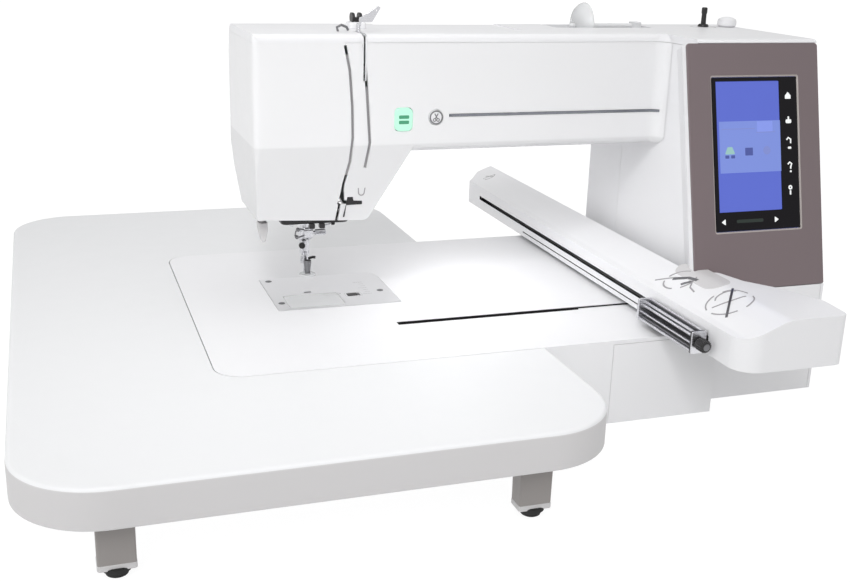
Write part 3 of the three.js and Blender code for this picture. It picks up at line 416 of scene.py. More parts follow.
def pin(axis, centre, radius, low, high, edge=0.3, steps=24):
    """A cylinder with eased ends."""
    profile = [(radius - edge, low), (radius, low + edge), (radius, high - edge), (radius - edge, high)]
    return turned(axis, centre, profile, steps)


def ring(axis, centre, inner, outer, low, high, steps=32):
    """A flat ring, closed on itself."""
    section = [(inner, low), (outer, low), (outer, high), (inner, high)]
    rings = []
    for k in range(steps):
        angle = 2 * math.pi * k / steps
        rings.append([Vector(to_axis(axis, radius * math.cos(angle), radius * math.sin(angle), along))
                      + Vector(centre) for radius, along in section])
    return loft(rings, closed=True)


def wire(points, radius, steps=10):
    """A round wire through points, with flat ends."""
    line = [Vector(point) for point in points]
    rings = []
    side = None
    for i, point in enumerate(line):
        along = (line[min(i + 1, len(line) - 1)] - line[max(i - 1, 0)]).normalized()
        side = along.orthogonal() if side is None else side
        side = (side - along * side.dot(along)).normalized()
        other = along.cross(side)
        angles = [2 * math.pi * k / steps for k in range(steps)]
        rings.append([point + radius * (side * math.cos(a) + other * math.sin(a)) for a in angles])
    return loft(rings)


def arc(centre, radius, start, end, count, plane="xy"):
    """Points along an arc in degrees, in the plane that the two letters name."""
    order = ["xyz".index(letter) for letter in plane]
    points = []
    for k in range(count):
        angle = math.radians(start + (end - start) * k / (count - 1))
        point = Vector(centre)
        point[order[0]] += radius * math.cos(angle)
        point[order[1]] += radius * math.sin(angle)
        points.append(point)
    return points


def block(x, y, z, radius=1.0, edge=0.6, axis="z"):
    """A box between pairs of limits, its corners rounded about one axis and its ends eased."""
    spans = {"x": (y, z, x), "y": (x, z, y), "z": (x, y, z)}[axis]
    (a0, a1), (b0, b1), (low, high) = spans
    return slab(axis, rectangle(a0, a1, b0, b1, radius), low, high, edge, edge, steps=4, edge_steps=3)


def screw(axis, centre, radius, height, outwards=1):
    """A pan-head screw, standing on its seat."""
    profile = ((1, 0), (1, 0.4), (0.8, 0.85), (0.3, 1))
    return turned(axis, centre, [(radius * wide, outwards * height * high) for wide, high in profile], 20)


def strip(axis, points, width, low, high):
    """A flat line of a drawing, of one width, between two planes."""
    line = [Vector(point) for point in points]
    sides = [[], []]
    for i, point in enumerate(line):
        along = (line[min(i + 1, len(line) - 1)] - line[max(i - 1, 0)]).normalized()
        across = Vector((-along.y, along.x)) * width / 2
        sides[0].append(point - across)
        sides[1].append(point + across)
    return crossed(axis, sides[0] + sides[1][::-1], low, high)


# ---------- pieces ----------
SMOOTH_ANGLE = math.radians(38)


def as_object(name, solids, look):
    """One object, in metres, from one or more solids."""
    mesh = bpy.data.meshes.new(name)
    whole = bmesh.new()
    for solid in solids:
        part = bpy.data.meshes.new("part")
        solid.to_mesh(part)
        solid.free()
        whole.from_mesh(part)
        bpy.data.meshes.remove(part)
    bmesh.ops.scale(whole, vec=(MM, MM, MM), verts=whole.verts)
    whole.to_mesh(mesh)
    whole.free()
    obj = bpy.data.objects.new(name, mesh)
    bpy.context.scene.collection.objects.link(obj)
    obj.data.materials.append(looks[look])
    return obj


def finish(obj, body, replaces=()):
    """Smooth shading with crisp real edges, then the body it rides on and the nodes it stands for."""
    obj.data.shade_smooth()
    obj.data.set_sharp_from_angle(angle=SMOOTH_ANGLE)
    normals = obj.modifiers.new("normals", "WEIGHTED_NORMAL")
    normals.keep_sharp = True
    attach(obj, body)
    if replaces:
        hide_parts(*replaces)
    return obj


def piece(name, solids, look, body="chassis", replaces=()):
    """A finished piece, in the slot of the look it is given."""
    obj = as_object(name, solids if isinstance(solids, list) else [solids], look)
    return finish(obj, body, replaces)


def apply_modifiers(obj):
    """Turns an object's modifiers into its mesh."""
    graph = bpy.context.evaluated_depsgraph_get()
    made = bpy.data.meshes.new_from_object(obj.evaluated_get(graph))
    obj.modifiers.clear()
    obj.data = made


def cut(obj, tools, operation="DIFFERENCE", look=None):
    """Cuts solids or another object out of an object; the faces it makes may have a look of their own."""
    ready = isinstance(tools, bpy.types.Object)
    cutter = tools if ready else as_object("cutter", tools, look or "white_shell")
    change = obj.modifiers.new("cut", "BOOLEAN")
    change.operation = operation
    change.solver = "EXACT"
    change.object = cutter
    change.use_self = not ready and len(tools) > 1
    if look:
        change.material_mode = "TRANSFER"
    apply_modifiers(obj)
    bpy.data.objects.remove(cutter)


def round_edges(obj, width, segments, angle, flat):
    """Adds modifiers that merge faces flat to some degrees and round edges sharper than an angle."""
    planar = obj.modifiers.new("planar", "DECIMATE")
    planar.decimate_type = "DISSOLVE"
    planar.angle_limit = math.radians(flat)
    planar.delimit = {"MATERIAL"}
    edge = obj.modifiers.new("edge", "BEVEL")
    edge.width = width * MM
    edge.segments = segments
    edge.limit_method = "ANGLE"
    edge.angle_limit = math.radians(angle)


def ease(obj, width, segments=2):
    """Rounds the sharp edges that cutting left."""
    round_edges(obj, width, segments, angle=35, flat=0.3)
    apply_modifiers(obj)


# ---------- CAD nodes that stay ----------
def soften(obj, width):
    """Rounds a CAD node's sharp edges and evens its shading, by modifiers alone."""
    round_edges(obj, width, segments=3, angle=32, flat=0.5)
    shade = obj.modifiers.new("shade", "WEIGHTED_NORMAL")
    shade.keep_sharp = False


# face_cover and arm_front_cover take the head look, with painted shade below the crease
OWN_LOOKS = {"needle_plate": "plate_steel", "arm_trim_strip": "trim_steel", "face_cover": "head_shell",
    "arm_front_cover": "head_shell"}
SHELLS = {"face_cover", "arm_front_cover", "rear_cover", "top_cover", "column_front_cover",
    "right_side_cover"}
SHELL_EDGE = 0.25
NODE_EDGE = 0.6


def dress_cad_nodes():
    for part in frame["record"]["subparts"]:
        obj = nodes[part["node"]]
        obj.data.materials.clear()
        obj.data.materials.append(looks[OWN_LOOKS.get(part["node"], part["material_slot"])])
        soften(obj, SHELL_EDGE if part["node"] in SHELLS else NODE_EDGE)


# ---------- extension table ----------
TABLE_CORNER = 62
TABLE_WALL = 4
TABLE_EDGE = 3.2      # rounding of the top edge
BED_CORNER = 22
BED_SEAM = 0.6
RIB_DEPTH = 8
RIB_THICK = 1.6


def bed_notch(grow):
    """The bay in the table that the bed fills."""
    table = Box("extension_table")
    bed = Box("bed_cover")
    edge = BED_SEAM + grow
    reach = table.right + 10
    corners = [(bed.left - edge, bed.front - edge, BED_CORNER + edge), (reach, bed.front - edge, 0.1),
        (reach, bed.back + edge, 0.1), (bed.left - edge, bed.back + edge, BED_CORNER + edge)]
    return slab("z", corners, table.bottom - 3, table.top + 2, 0.1, 0.1, steps=12, edge_steps=1)


def table_ribs():
    """Stiffening ribs under the table's top, clear of the folded legs."""
    table = Box("extension_table")
    bed = Box("bed_cover")
    height = (table.top - TABLE_WALL - RIB_DEPTH, table.top - TABLE_WALL + 0.4)
    inside = (table.front + TABLE_WALL - 0.5, table.back - TABLE_WALL + 0.5)
    ribs = []
    for x in (-265, -238):
        ribs.append(block((x, x + RIB_THICK), inside, height, 0.4, 0.3))
    for x in (-195, -150, -105, -60):
        ribs.append(block((x, x + RIB_THICK), (inside[0], bed.front - 4), height, 0.4, 0.3))
        ribs.append(block((x, x + RIB_THICK), (bed.back + 4, inside[1]), height, 0.4, 0.3))
    for y in (-225, -150, -75, 0, 75, 190, 225):
        reach = table.right - TABLE_WALL if abs(y) > 160 else bed.left - 4
        ribs.append(block((table.left + TABLE_WALL - 0.5, reach), (y, y + RIB_THICK), height, 0.4, 0.3))
    return ribs


def leg_lugs():
    """Two cheeks for each leg, round the pin it folds on."""
    table = Box("extension_table")
    lugs = []
    for leg in LEGS:
        post = Box(leg)
        pivot = post.top - LEG_HEAD
        for side in (post.left, post.right - LUG):
            corners = [(post.y - 8, table.top - TABLE_WALL + 0.4, 0.5), (post.y - 8, pivot - 7, 6),
                (post.y + 8, pivot - 7, 6), (post.y + 8, table.top - TABLE_WALL + 0.4, 0.5)]
            lugs.append(slab("x", corners, side, side + LUG, 0.4, 0.4))
    return lugs


def extension_table():
    table = Box("extension_table")
    corners = rectangle(table.left, table.right, table.front, table.back, TABLE_CORNER)
    board = slab("z", corners, table.bottom, table.top, 1.2, TABLE_EDGE, steps=20)
    tray = as_object("extension_table_tray", [board], "table_plastic")
    inner = rectangle(table.left + TABLE_WALL, table.right - TABLE_WALL, table.front + TABLE_WALL,
                      table.back - TABLE_WALL, TABLE_CORNER - TABLE_WALL)
    space = slab("z", inner, table.bottom - 2, table.top - TABLE_WALL, 0.1, 2, steps=16)
    hollow = as_object("hollow", [space], "table_plastic")
    cut(hollow, [bed_notch(TABLE_WALL)])
    cut(tray, hollow)
    cut(tray, [bed_notch(0)])
    ease(tray, 0.5)
    # painted shade on the rim
    paint_rim_shade(tray, table.top - TABLE_EDGE - 0.5)
    finish(tray, "extension_table", ["extension_table"])
    piece("extension_table_ribs", table_ribs() + leg_lugs(), "table_plastic", "extension_table")


def paint_rim_shade(obj, height):
    """Painted shade: the table's upright outer wall is painted a shade greyer than its top, for the shade
    that falls on it.
    """
    obj.data.materials.append(looks["rim_plastic"])
    rim = len(obj.data.materials) - 1
    for face in obj.data.polygons:
        if abs(face.normal.z) < 0.5 and face.center.z / MM < height + 2:
            face.material_index = rim


# ---------- table legs ----------
LEGS = ["table_leg_front_left", "table_leg_front_right", "table_leg_rear_left", "table_leg_rear_right"]
LEG_HEAD = 6        # height of the leg above its pin
LEG_DEPTH = 18
LUG = 4


def table_leg(name):
    leg = Box(name)
    rider = name.replace("table_", "")
    left, right = leg.left + LUG + 0.5, leg.right - LUG - 0.5
    front, back = leg.y - LEG_DEPTH / 2, leg.y + LEG_DEPTH / 2
    side = [(front + 1.2, 9, 2), (back - 1.2, 9, 2), (back, leg.top, 6), (front, leg.top, 6)]
    # the leg's grey carries painted shade
    post = as_object(name + "_post", [slab("x", side, left, right, 1.6, 1.6)], "leg_plastic")
    cut(post, [block((left + 4, right - 4), (back - 3, back + 2), (16, leg.top - 22), 2, 0.5, "y")])
    ease(post, 0.4)
    finish(post, rider, [name])
    piece(name + "_sole", block((left - 0.3, right + 0.3), (front + 0.8, back - 0.8), (6.4, 11), 2, 0.8),
        "rim_plastic", rider)
    sole = [(6.2, 0), (7.4, 0.8), (7.6, 3), (9.8, 4.4), (10.3, 6), (10.3, 7.5), (9, 8.2)]
    foot = turned("z", (leg.x, leg.y, 0), sole, 28)
    piece(name + "_rubber_foot", foot, "rubber", rider)
    pivot = (0, leg.y, leg.top - LEG_HEAD)
    piece(name + "_pin", [pin("x", pivot, 2.3, leg.left - 0.2, leg.right + 0.2)], "bright_steel", rider)


# ---------- bed ----------
SLOT = {"left": -42.3, "right": 210.5, "y": -103.9}
SLOT_DEPTH = 16
SLOT_TOP = 0.35       # how far below the bed's top the lining stops
POCKET_ROOF = 1.2     # the strip of the carriage slides under this much of the bed's top


def slot_lining():
    """Black walls down both sides of the bed's carriage slot."""
    top = Box("bed_cover").top
    left, right, y = SLOT["left"], SLOT["right"], SLOT["y"]
    height = (top - SLOT_DEPTH, top - SLOT_TOP)
    walls = [block((left + 0.1, right - 0.1), edge, height, 0.1, 0.05)
        for edge in ((y - 3.95, y - 3.62), (y + 3.62, y + 3.95))]
    end = block((left + 0.02, left + 0.5), (y - 3.9, y + 3.9), (top - POCKET_ROOF, height[1]), 0.1, 0.05)
    ledge = block((left, right), (y - 9, y - 4.2), (height[0] - 1, height[0]), 0.1, 0.05)
    piece("slot_lining", walls + [end, ledge], "black_plastic")


def needle_plate_details():
    plate = Box("needle_plate")
    screws = []
    for x, y in ((plate.left + 7.7, plate.back - 8.1), (plate.left + 6.7, plate.front + 20.4),
            (plate.right - 9.9, plate.front + 37.4)):
        screws.append(screw("z", (x, y, plate.top - 0.05), 3.1, 0.55))
        screws.append(block((x - 2.2, x + 2.2), (y - 0.35, y + 0.35), (plate.top + 0.42, plate.top + 0.6),
                0.1, 0.02))
    piece("needle_plate_screws", screws, "dark_steel")
    marks = []
    for k in range(7):
        y = plate.y - 18 + 6 * k
        long = 9 if k % 3 == 0 else 5
        marks.append(block((plate.right - 20 - long, plate.right - 20), (y, y + 0.35),
                (plate.top - 0.02, plate.top + 0.03), 0.1, 0.01))
    loop = [(plate.x + 8.5 * math.cos(a), plate.front + 36.5 + 2.6 * math.sin(a))
            for a in (k * math.pi / 12 for k in range(25))]
    marks.append(strip("z", loop, 0.5, plate.top - 0.02, plate.top + 0.04))
    piece("needle_plate_marks", marks, "grey_print")
    key = Box("cover_release_button")
    frame_marks = rectangle(key.left - 2, key.right + 4.5, key.front - 2, key.back + 2, 1.5)
    edge = [Vector(point) for point in outline(frame_marks, 0, 4)]
    piece("cover_release_frame", strip("z", edge + edge[:1], 0.5, plate.top - 0.02, plate.top + 0.06),
        "pale_print")


# ---------- head ----------
HEAD_LEAN = 0.07      # how far the front falls back for each step down from the crease


def head_front(z):
    """Y of the head's front face, which leans back below the crease."""
    return Box("face_cover").front + max(CREASE / MM - z, 0) * HEAD_LEAN


def channel_shade_liners():
    """Grey plates behind the two thread channels, as painted shade, so that each reads as a shallow
    shaded groove.
    """
    head = Box("face_cover")
    depth = (head.front + 2.9, head.front + 4.1)
    left = block((-86, -64.5), depth, (200, 303), 1, 0.3, "y")
    right = block((-63.2, -51), depth, (203, 276), 1, 0.3, "y")
    piece("thread_channel_shade_liners", [left, right], "grey_print")


def cover_seam():
    """A seal in the joint between the top cover and the arm, so that it shows as a faint line."""
    head = Box("face_cover")
    arm = Box("arm_front_cover")
    seal = block((head.left + 8, arm.right - 14), (head.front + 0.2, head.front + 2.4),
        (head.top, head.top + 0.3), 0.1, 0.02)
    piece("cover_seal", seal, "white_shell")


def lever_slot_lips():
    """Soft lips that close the take-up lever's slot to a narrow line."""
    lever = Box("take_up_lever")
    head = Box("face_cover")
    blade = lever.left + 2.6
    front = (head.front + 0.3, head.front + 2.5)
    lips = [block((blade - 1.85, blade - 0.88), front, (281.1, 318), 0.2, 0.1, "y"),
        block((blade + 0.88, blade + 1.85), front, (281.1, 318), 0.2, 0.1, "y")]
    piece("lever_slot_lips", lips, "white_shell")


def thread_guide_hook():
    """The black hook that the thread passes at the foot of the left channel."""
    corners = [(-78.9, 162.6, 0.3), (-77.7, 162.6, 0.3), (-76, 173.2, 0.4), (-61.7, 173.3, 0.6),
        (-61.7, 176.5, 0.6), (-69.7, 176.9, 0.8), (-72, 195.7, 0.3), (-72.8, 195.7, 0.3),
        (-76.2, 174.1, 0.4)]
    y = head_front(180)
    piece("thread_guide_hook", slab("y", corners, y - 0.35, y + 0.8, 0.1, 0.1), "black_plastic")


def head_marks():
    """Small printed guides beside the thread channels."""
    marks = []
    for x, z in ((-82.5, 176.6), (-81.6, 168.9)):
        y = head_front(z)
        marks.append(block((x - 1.6, x + 1.6), (y - 0.1, y + 0.2), (z - 0.5, z + 0.5), 0.3, 0.03, "y"))
    y = head_front(187) - 0.05
    bend = [(-62.6 + 2.6 * math.cos(a), 184.1 + 2.6 * math.sin(a))
        for a in (math.pi + math.pi * k / 8 for k in range(9))]
    hook = [(-65.4, 188.3)] + bend + [(-58.7, 192)]
    marks.append(strip("y", hook, 1.0, y - 0.3, y + 0.6))
    piece("thread_guide_marks", marks, "grey_print")


def head_underside():
    """The dark frame round the needle bar's opening, with the work lamp in it."""
    head = Box("face_cover")
    z = (head.bottom - 3.4, head.bottom + 6)
    left, right, front, back = -132, -72, -48.5, 20
    outer = block((left, right), (front, back), z, 5, 0.8)
    border = as_object("needle_opening_frame", [outer], "black_plastic")
    cut(border, [block((left + 6, right - 6), (front + 7, back - 6), (z[0] - 2, z[1] + 2), 4, 0.1)])
    finish(border, "chassis")
    lens = [block((x, x + 6), (front + 1.6, front + 5.4), (z[0] - 0.9, z[0] + 0.4), 1.5, 0.4)
            for x in (left + 14, left + 23, left + 32)]
    piece("work_lamp_lens", lens, "lamp_lens")
    clips = [block((x, x + 5), (front - 2, front + 3), (z[0] - 4.2, z[0] + 0.6), 1.2, 0.5, "y")
        for x in (-108, -99)]
    piece("needle_opening_clips", clips, "black_plastic")


# ---------- needle bar, foot and threader ----------
def needle_bar():
    bar = Box("needle_bar")
    needle = Box("needle")
    x, y = needle.x, 0
    clamp = (needle.top + 0.3, needle.top + 12)
    collar = (from_end(clamp[0], [(3.2, 0), (4.6, 1.4), (5.4, 2.4)])
              + from_end(clamp[1], [(5.4, -1.6), (4.4, 0)]))
    solids = [pin("z", (x, y, 0), 3.5, clamp[1] - 1, bar.top, 0.6), turned("z", (x, y, 0), collar, 32),
              block((x - 4.2, x + 4.2), (y - 6.6, y), (clamp[0] + 2.4, clamp[1] - 2), 1, 0.5)]
    piece("needle_bar_and_clamp", solids, "bright_steel", "needle_bar", ["needle_bar"])
    middle = (clamp[0] + clamp[1]) / 2
    head = from_end(x, [(2.1, 7), (2.8, 7.6), (2.8, 16.4), (2.0, 17.4)])
    thumb = [pin("x", (0, y, middle), 1.4, x + 4, x + 8),
             turned("x", (0, y, middle), head, 48, teeth=12, depth=0.5)]
    piece("needle_clamp_screw", thumb, "bright_steel", "needle_bar")
    guide = [(x - 4, -3, middle + 4), (x - 8, -4, middle + 5), (x - 11.6, -4, middle + 3),
        (x - 12.4, -4, middle - 1), (x - 9.6, -4, middle - 3), (x - 5, -3, middle - 2)]
    dots = [turned("y", (x + dx, 0, middle + dz), [(0.9, -6.4), (1.7, -5.8), (1.7, -3)], 16)
            for dx, dz in ((-9.7, 4.6), (-10.9, -2.4))]
    piece("needle_thread_guide", [wire(guide, 0.7)] + dots, "dark_steel", "needle_bar")


def needle():
    box = Box("needle")
    point = from_end(box.bottom, [(0.12, 0), (0.6, 5), (0.62, 8), (0.5, 9), (0.62, 10)])
    shank = from_end(box.top, [(0.8, -12), (1.1, -10), (1.1, -0.6), (0.8, 0)])
    solid = turned("z", (box.x, 0, 0), point + shank, 20)
    piece("machine_needle", solid, "bright_steel", "needle_bar", ["needle"])


def presser():
    bar = Box("presser_bar")
    foot = Box("embroidery_foot")
    x, y = bar.x, bar.y
    solids = [pin("z", (x, y, 0), 4, foot.top + 0.4, bar.top, 0.6),
        block((x - 5, x + 5), (y - 5, y + 4.6), (foot.top + 0.4, foot.top + 9), 1.6, 0.6)]
    piece("presser_bar_and_holder", solids, "bright_steel", "presser", ["presser_bar"])


def embroidery_foot():
    """Ankle, spring and a round sole that the needle passes through."""
    foot = Box("embroidery_foot")
    x = foot.x
    low = foot.bottom
    top = low + 14.4
    side = [(8.5, low + 17, 2), (18, low + 17, 2), (18.6, foot.top, 1.2), (7.5, foot.top, 1.2)]
    ankle = [slab("x", side, x - 3.6, x + 3.6, 0.7, 0.7),
             block((x - 2.2, x + 2.2), (6.6, 9.4), (low + 1, low + 20), 0.8, 0.4)]
    piece("embroidery_foot_ankle", ankle, "bright_steel", "presser", ["embroidery_foot"])
    outside = turned("z", (x, 0, 0), [(2.2, low + 2), (2.5, low + 3), (3.6, top - 1), (3.4, top)], 32)
    cone = as_object("embroidery_foot_cone", [outside], "dark_steel")
    cut(cone, [turned("z", (x, 0, 0), [(1.5, low - 2), (1.7, low + 4), (2.6, low + 16)], 32)])
    finish(cone, "presser")
    sole = ring("z", (x, 0, 0), 3.2, 7.4, low, low + 1.6)
    piece("embroidery_foot_sole", sole, "clear_plastic", "presser")
    turns = 5
    coil = [(x + 3.4 * math.cos(a), 13.2 + 3.4 * math.sin(a), low + 8 + 1.3 * a / math.pi / 2)
            for a in (2 * math.pi * k / 16 for k in range(16 * turns))]
    piece("embroidery_foot_spring", wire(coil, 0.45, 8), "bright_steel", "presser")
    elbow = [(x + 1.5, 6.6, top - 1), (x + 3.4, 4, top + 1), (x + 5.4, 1, top + 2.4),
             (x + 7.6, 0, top + 2.4)]
    bolt = turned("y", (x - 3.5, 0, foot.top - 4.6), [(1.8, 5.2), (2.9, 5.8), (2.9, 8)], 20)
    piece("embroidery_foot_arm", [wire(elbow, 1.3), bolt], "black_plastic", "presser")


def threader():
    tab = Box("needle_threader_lever")
    corners = [(tab.right - 5.2, tab.bottom, 1.4), (tab.right - 2, tab.bottom + 0.6, 1.4),
        (tab.right, tab.top - 76, 1.6), (tab.right, tab.bottom + 17.5, 0.8),
        (tab.left, tab.bottom + 17.5, 0.8), (tab.left, tab.bottom + 12, 2)]
    solids = [slab("y", corners, tab.front + 1, tab.back - 1, 1, 1),
        pin("z", (tab.x, tab.y, 0), 2.5, tab.bottom + 16, tab.top, 0.6)]
    piece("needle_threader_tab", solids, "rim_plastic", "needle_threader", ["needle_threader_lever"])


def bar_guides():
    """Fixed wire guides beside the needle bar."""
    x = Box("needle").x
    right = [(x + 8, -14, 161), (x + 7, -14, 152), (x + 8.4, -13, 145.6), (x + 13, -12, 144.6),
        (x + 20, -12, 146.2)]
    bracket = [block((x - 19, x - 16.4), (-16, -8), (146, 161), 0.8, 0.4),
        block((x + 12, x + 24), (-10, -6), (154, 161), 1.5, 0.5)]
    piece("needle_bar_guide_wire", [wire(right, 0.7)] + bracket, "bright_steel")
    tip = from_end(x, [(0.8, 19.6), (1.5, 20), (1.5, 22.4), (0.8, 23)])
    piece("guide_wire_tip", turned("x", (0, -12, 146.2), tip, 16), "black_plastic")


# ---------- arm front ----------
def start_button():
    key = Box("start_stop_button")
    corners = rectangle(key.left, key.right, key.bottom, key.top, 4.5)
    piece("start_stop_key", slab("y", corners, key.front, key.back, 0.9, 0.4), "green_key",
        "start_stop_button", ["start_stop_button"])
    front = (key.front - 0.12, key.front + 0.3)
    marks = [block((key.x - 4.6, key.x + 4.6), front, (z, z + 3), 0.8, 0.05, "y")
        for z in (key.z - 3.8, key.z + 0.8)]
    piece("start_stop_mark", marks, "green_mark", "start_stop_button")


def cutter_button():
    key = Box("thread_cutter_button")
    x, z, r = key.x, key.z, key.right - key.x
    side = [(4.6, key.back), (r, key.back), (r, key.front + 0.6), (r - 0.6, key.front + 0.1),
        (3, key.front)]
    solid = turned("y", (x, 0, z), side, 40)
    piece("thread_cutter_key", solid, "white_shell", "thread_cutter_button", ["thread_cutter_button"])
    rim = ring("y", (x, 0, z), 4.9, 6.2, key.front - 0.06, key.front + 0.5, 40)
    front = (key.front - 0.16, key.front + 0.3)
    blades = [strip("y", [(x - way * 1.6, z + 3.4), (x + way * 0.9, z - 1)], 0.9, *front)
              for way in (1, -1)]
    handles = [ring("y", (x + way * 1.6, 0, z - 2.2), 0.8, 1.6, *front, 16) for way in (-1, 1)]
    piece("thread_cutter_mark", [rim] + blades + handles, "dark_steel", "thread_cutter_button")


# ---------- control panel ----------
PANEL_TILT = 0.2522
PANEL_THICK = 8
PANEL_CORNER = 3
FRONT_PLATE = 2.0
SCREEN_RECESS = 1.4   # width of the pale chamfer round the screen


def panel_place():
    """Turns a drawing of the panel, with its front face on y = 0, into the machine's frame."""
    bezel = Box("control_panel_bezel")
    foot = (0, bezel.front, bezel.bottom + PANEL_THICK * math.sin(PANEL_TILT))
    return Matrix.Translation(foot) @ Matrix.Rotation(-PANEL_TILT, 4, "X")


def on_panel(*solids):
    place = panel_place()
    for solid in solids:
        bmesh.ops.transform(solid, matrix=place, verts=solid.verts)
    return list(solids)


def panel_bezel():
    bezel = Box("control_panel_bezel", panel_place())
    glass = Box("touch_panel", panel_place())
    corners = [(bezel.left, bezel.bottom, 1.5), (bezel.right, bezel.bottom, 1.5),
               (bezel.right, bezel.top, PANEL_CORNER), (bezel.left, bezel.top, PANEL_CORNER)]
    hole = rectangle(glass.left - 0.4, glass.right + 0.4, glass.bottom - 0.4, glass.top + 0.4, 1.2)
    front = on_panel(slab("y", corners, 0, FRONT_PLATE, 0.8, 0.2))
    plate = as_object("control_panel_frame", front, "taupe_panel")
    cut(plate, on_panel(slab("y", hole, -2, bezel.back + 2, 0.1, 0.1, edge_steps=1)))
    grow = 0.4 + SCREEN_RECESS
    grown = rectangle(glass.left - grow, glass.right + grow, glass.bottom - grow, glass.top + grow, 2)
    rings = [[to_axis("y", *point, along) for point in outline(grown, inset)]
             for inset, along in ((-0.6, -0.6), (0, 0), (SCREEN_RECESS, SCREEN_RECESS * 0.7))]
    cut(plate, on_panel(loft(rings)), look="taupe_edge")
    finish(plate, "chassis", ["control_panel_bezel"])
    rear = on_panel(slab("y", corners, FRONT_PLATE + 0.05, bezel.back, 0.1, 0.4))
    backing = as_object("control_panel_backing", rear, "white_shell")
    cut(backing, on_panel(slab("y", hole, -2, bezel.back + 2, 0.1, 0.1, edge_steps=1)))
    finish(backing, "chassis")
    height = (bezel.top - 1, bezel.top + 0.36)
    seam = block((bezel.left + 6, bezel.right - 2), (1.2, 3.4), height, 0.2, 0.05, "y")
    piece("control_panel_seam", on_panel(seam), "white_shell")


LCD = {"left": 240.8, "right": 307.6, "bottom": 70.1, "top": 185.8}   # on the panel's own plane


def lcd_part(name, look, spans, proud=0.12, radius=0.4):
    """Plates on the display, given by shares of its width and height."""
    width, height = LCD["right"] - LCD["left"], LCD["top"] - LCD["bottom"]
    solids = []
    for left, right, low, high in spans:
        x = (LCD["left"] + left * width, LCD["left"] + right * width)
        z = (LCD["bottom"] + low * height, LCD["bottom"] + high * height)
        solids.append(block(x, (0.5 - proud, 0.6), z, radius, 0.02, "y"))
    piece(name, on_panel(*solids), look)


def display_content():
    """A generic screen: a lighter band with three icons, and touch keys beside and below it."""
    glass = Box("touch_panel", panel_place())
    lcd_part("display_band", "display_band", [(0.05, 1, 0.30, 0.695)])
    lcd_part("display_box", "display_box", [(0.635, 0.88, 0.61, 0.69)], 0.16)
    lcd_part("display_rule", "display_grey",
             [(0.09, 0.6, 0.633, 0.64), (0.62, 0.92, 0.603, 0.609)], 0.16, 0.1)
    lcd_part("display_icon_square", "display_dark",
             [(0.44, 0.56, 0.43, 0.49), (0.13, 0.19, 0.412, 0.436), (0.22, 0.28, 0.412, 0.436)], 0.16)
    width, height = LCD["right"] - LCD["left"], LCD["top"] - LCD["bottom"]
    roof = [(LCD["left"] + a * width, LCD["bottom"] + b * height, 0.8)
            for a, b in ((0.125, 0.444), (0.285, 0.444), (0.24, 0.50), (0.17, 0.50))]
    piece("display_icon_roof", on_panel(slab("y", roof, 0.34, 0.6, 0.02, 0.02)), "display_green")
    disc = turned("y", (LCD["left"] + 0.78 * width, 0, LCD["bottom"] + 0.465 * height),
                  [(3.6, 0.6), (3.8, 0.5), (3.8, 0.36), (3.6, 0.34)], 28)
    piece("display_icon_disc", on_panel(disc), "display_grey")
    front = (glass.front - 0.08, glass.front + 0.2)
    x = LCD["right"] + 9
    house = [(x - 3, 169.4, 0.5), (x + 3, 169.4, 0.5), (x + 3, 172.4, 0.5), (x, 175.6, 0.5),
             (x - 3, 172.4, 0.5)]
    bars = [(x - 3, x + 3, 147.5, 151, 1.2), (x - 0.8, x + 0.8, 151, 153.6, 0.3),
            (x - 1.4, x + 2.2, 124.4, 126.4, 0.8), (x, x + 2, 103.2, 105, 0.8),
            (x - 0.8, x + 0.8, 83, 87, 0.5)]
    left_arrow = [(246 - 2.6, 61.4, 0.4), (246 + 1.6, 58.6, 0.4), (246 + 1.6, 64.2, 0.4)]
    right_arrow = [(300.6 - 1.6, 61.4 - 2.8, 0.4), (300.6 + 2.6, 61.4, 0.4),
        (300.6 - 1.6, 61.4 + 2.8, 0.4)]
    drawings = [house] + [rectangle(*bar) for bar in bars] + [left_arrow, right_arrow]
    keys = [slab("y", drawing, *front, 0.02, 0.02) for drawing in drawings]
    keys += [strip("y", [(x - 2.6, 132.6), (x - 0.8, 134.6), (x + 1.8, 133), (x + 1.6, 129.4)], 1.4,
            *front), strip("y", [(x - 2, 110.6), (x, 112.4), (x + 2.2, 111), (x + 1, 108.2),
                (x + 1, 106.4)], 1.5, *front), ring("y", (x, 0, 89.6), 0.7, 2.1, *front, 20)]
    piece("touch_key_icons", on_panel(*keys), "icon_white")
    bar = slab("y", rectangle(259, 287, 60, 63, 1.4), *front, 0.02, 0.02)
    piece("touch_key_bar", on_panel(bar), "icon_dim")


# ---------- embroidery arm ----------
ARM_WALL = 2.6
ARM_EDGE = 2.4


def arm_plan(box):
    """The arm from above: a long bar that widens to a wing at its front end."""
    return [(box.left, box.front, 20), (box.left + 95, box.front, 8),
        (box.right + 0.6, box.front + 37, 12), (box.left + 80, -220, 12), (box.left + 64, -198, 12),
        (box.left + 56, -170, 5), (box.left + 35.7, -168, 0.5), (box.left + 35.7, box.back, 3),
        (box.left + 18, box.back, 1), (box.left, box.back - 20, 1)]


def arm_section(box, grow=0.0):
    """The arm from its end: a low left edge, a slope and a level top."""
    top = box.top + grow
    return [(box.left - 5, box.bottom, 0.1), (box.right + 8, box.bottom, 0.1), (box.right + 8, top, 0.1),
        (box.left + 40.2, top, 22), (box.left + 23, top - 6.6, 30), (box.left + 6, top - 14, 14),
        (box.left - 5, top - 16.3, 0.1)]


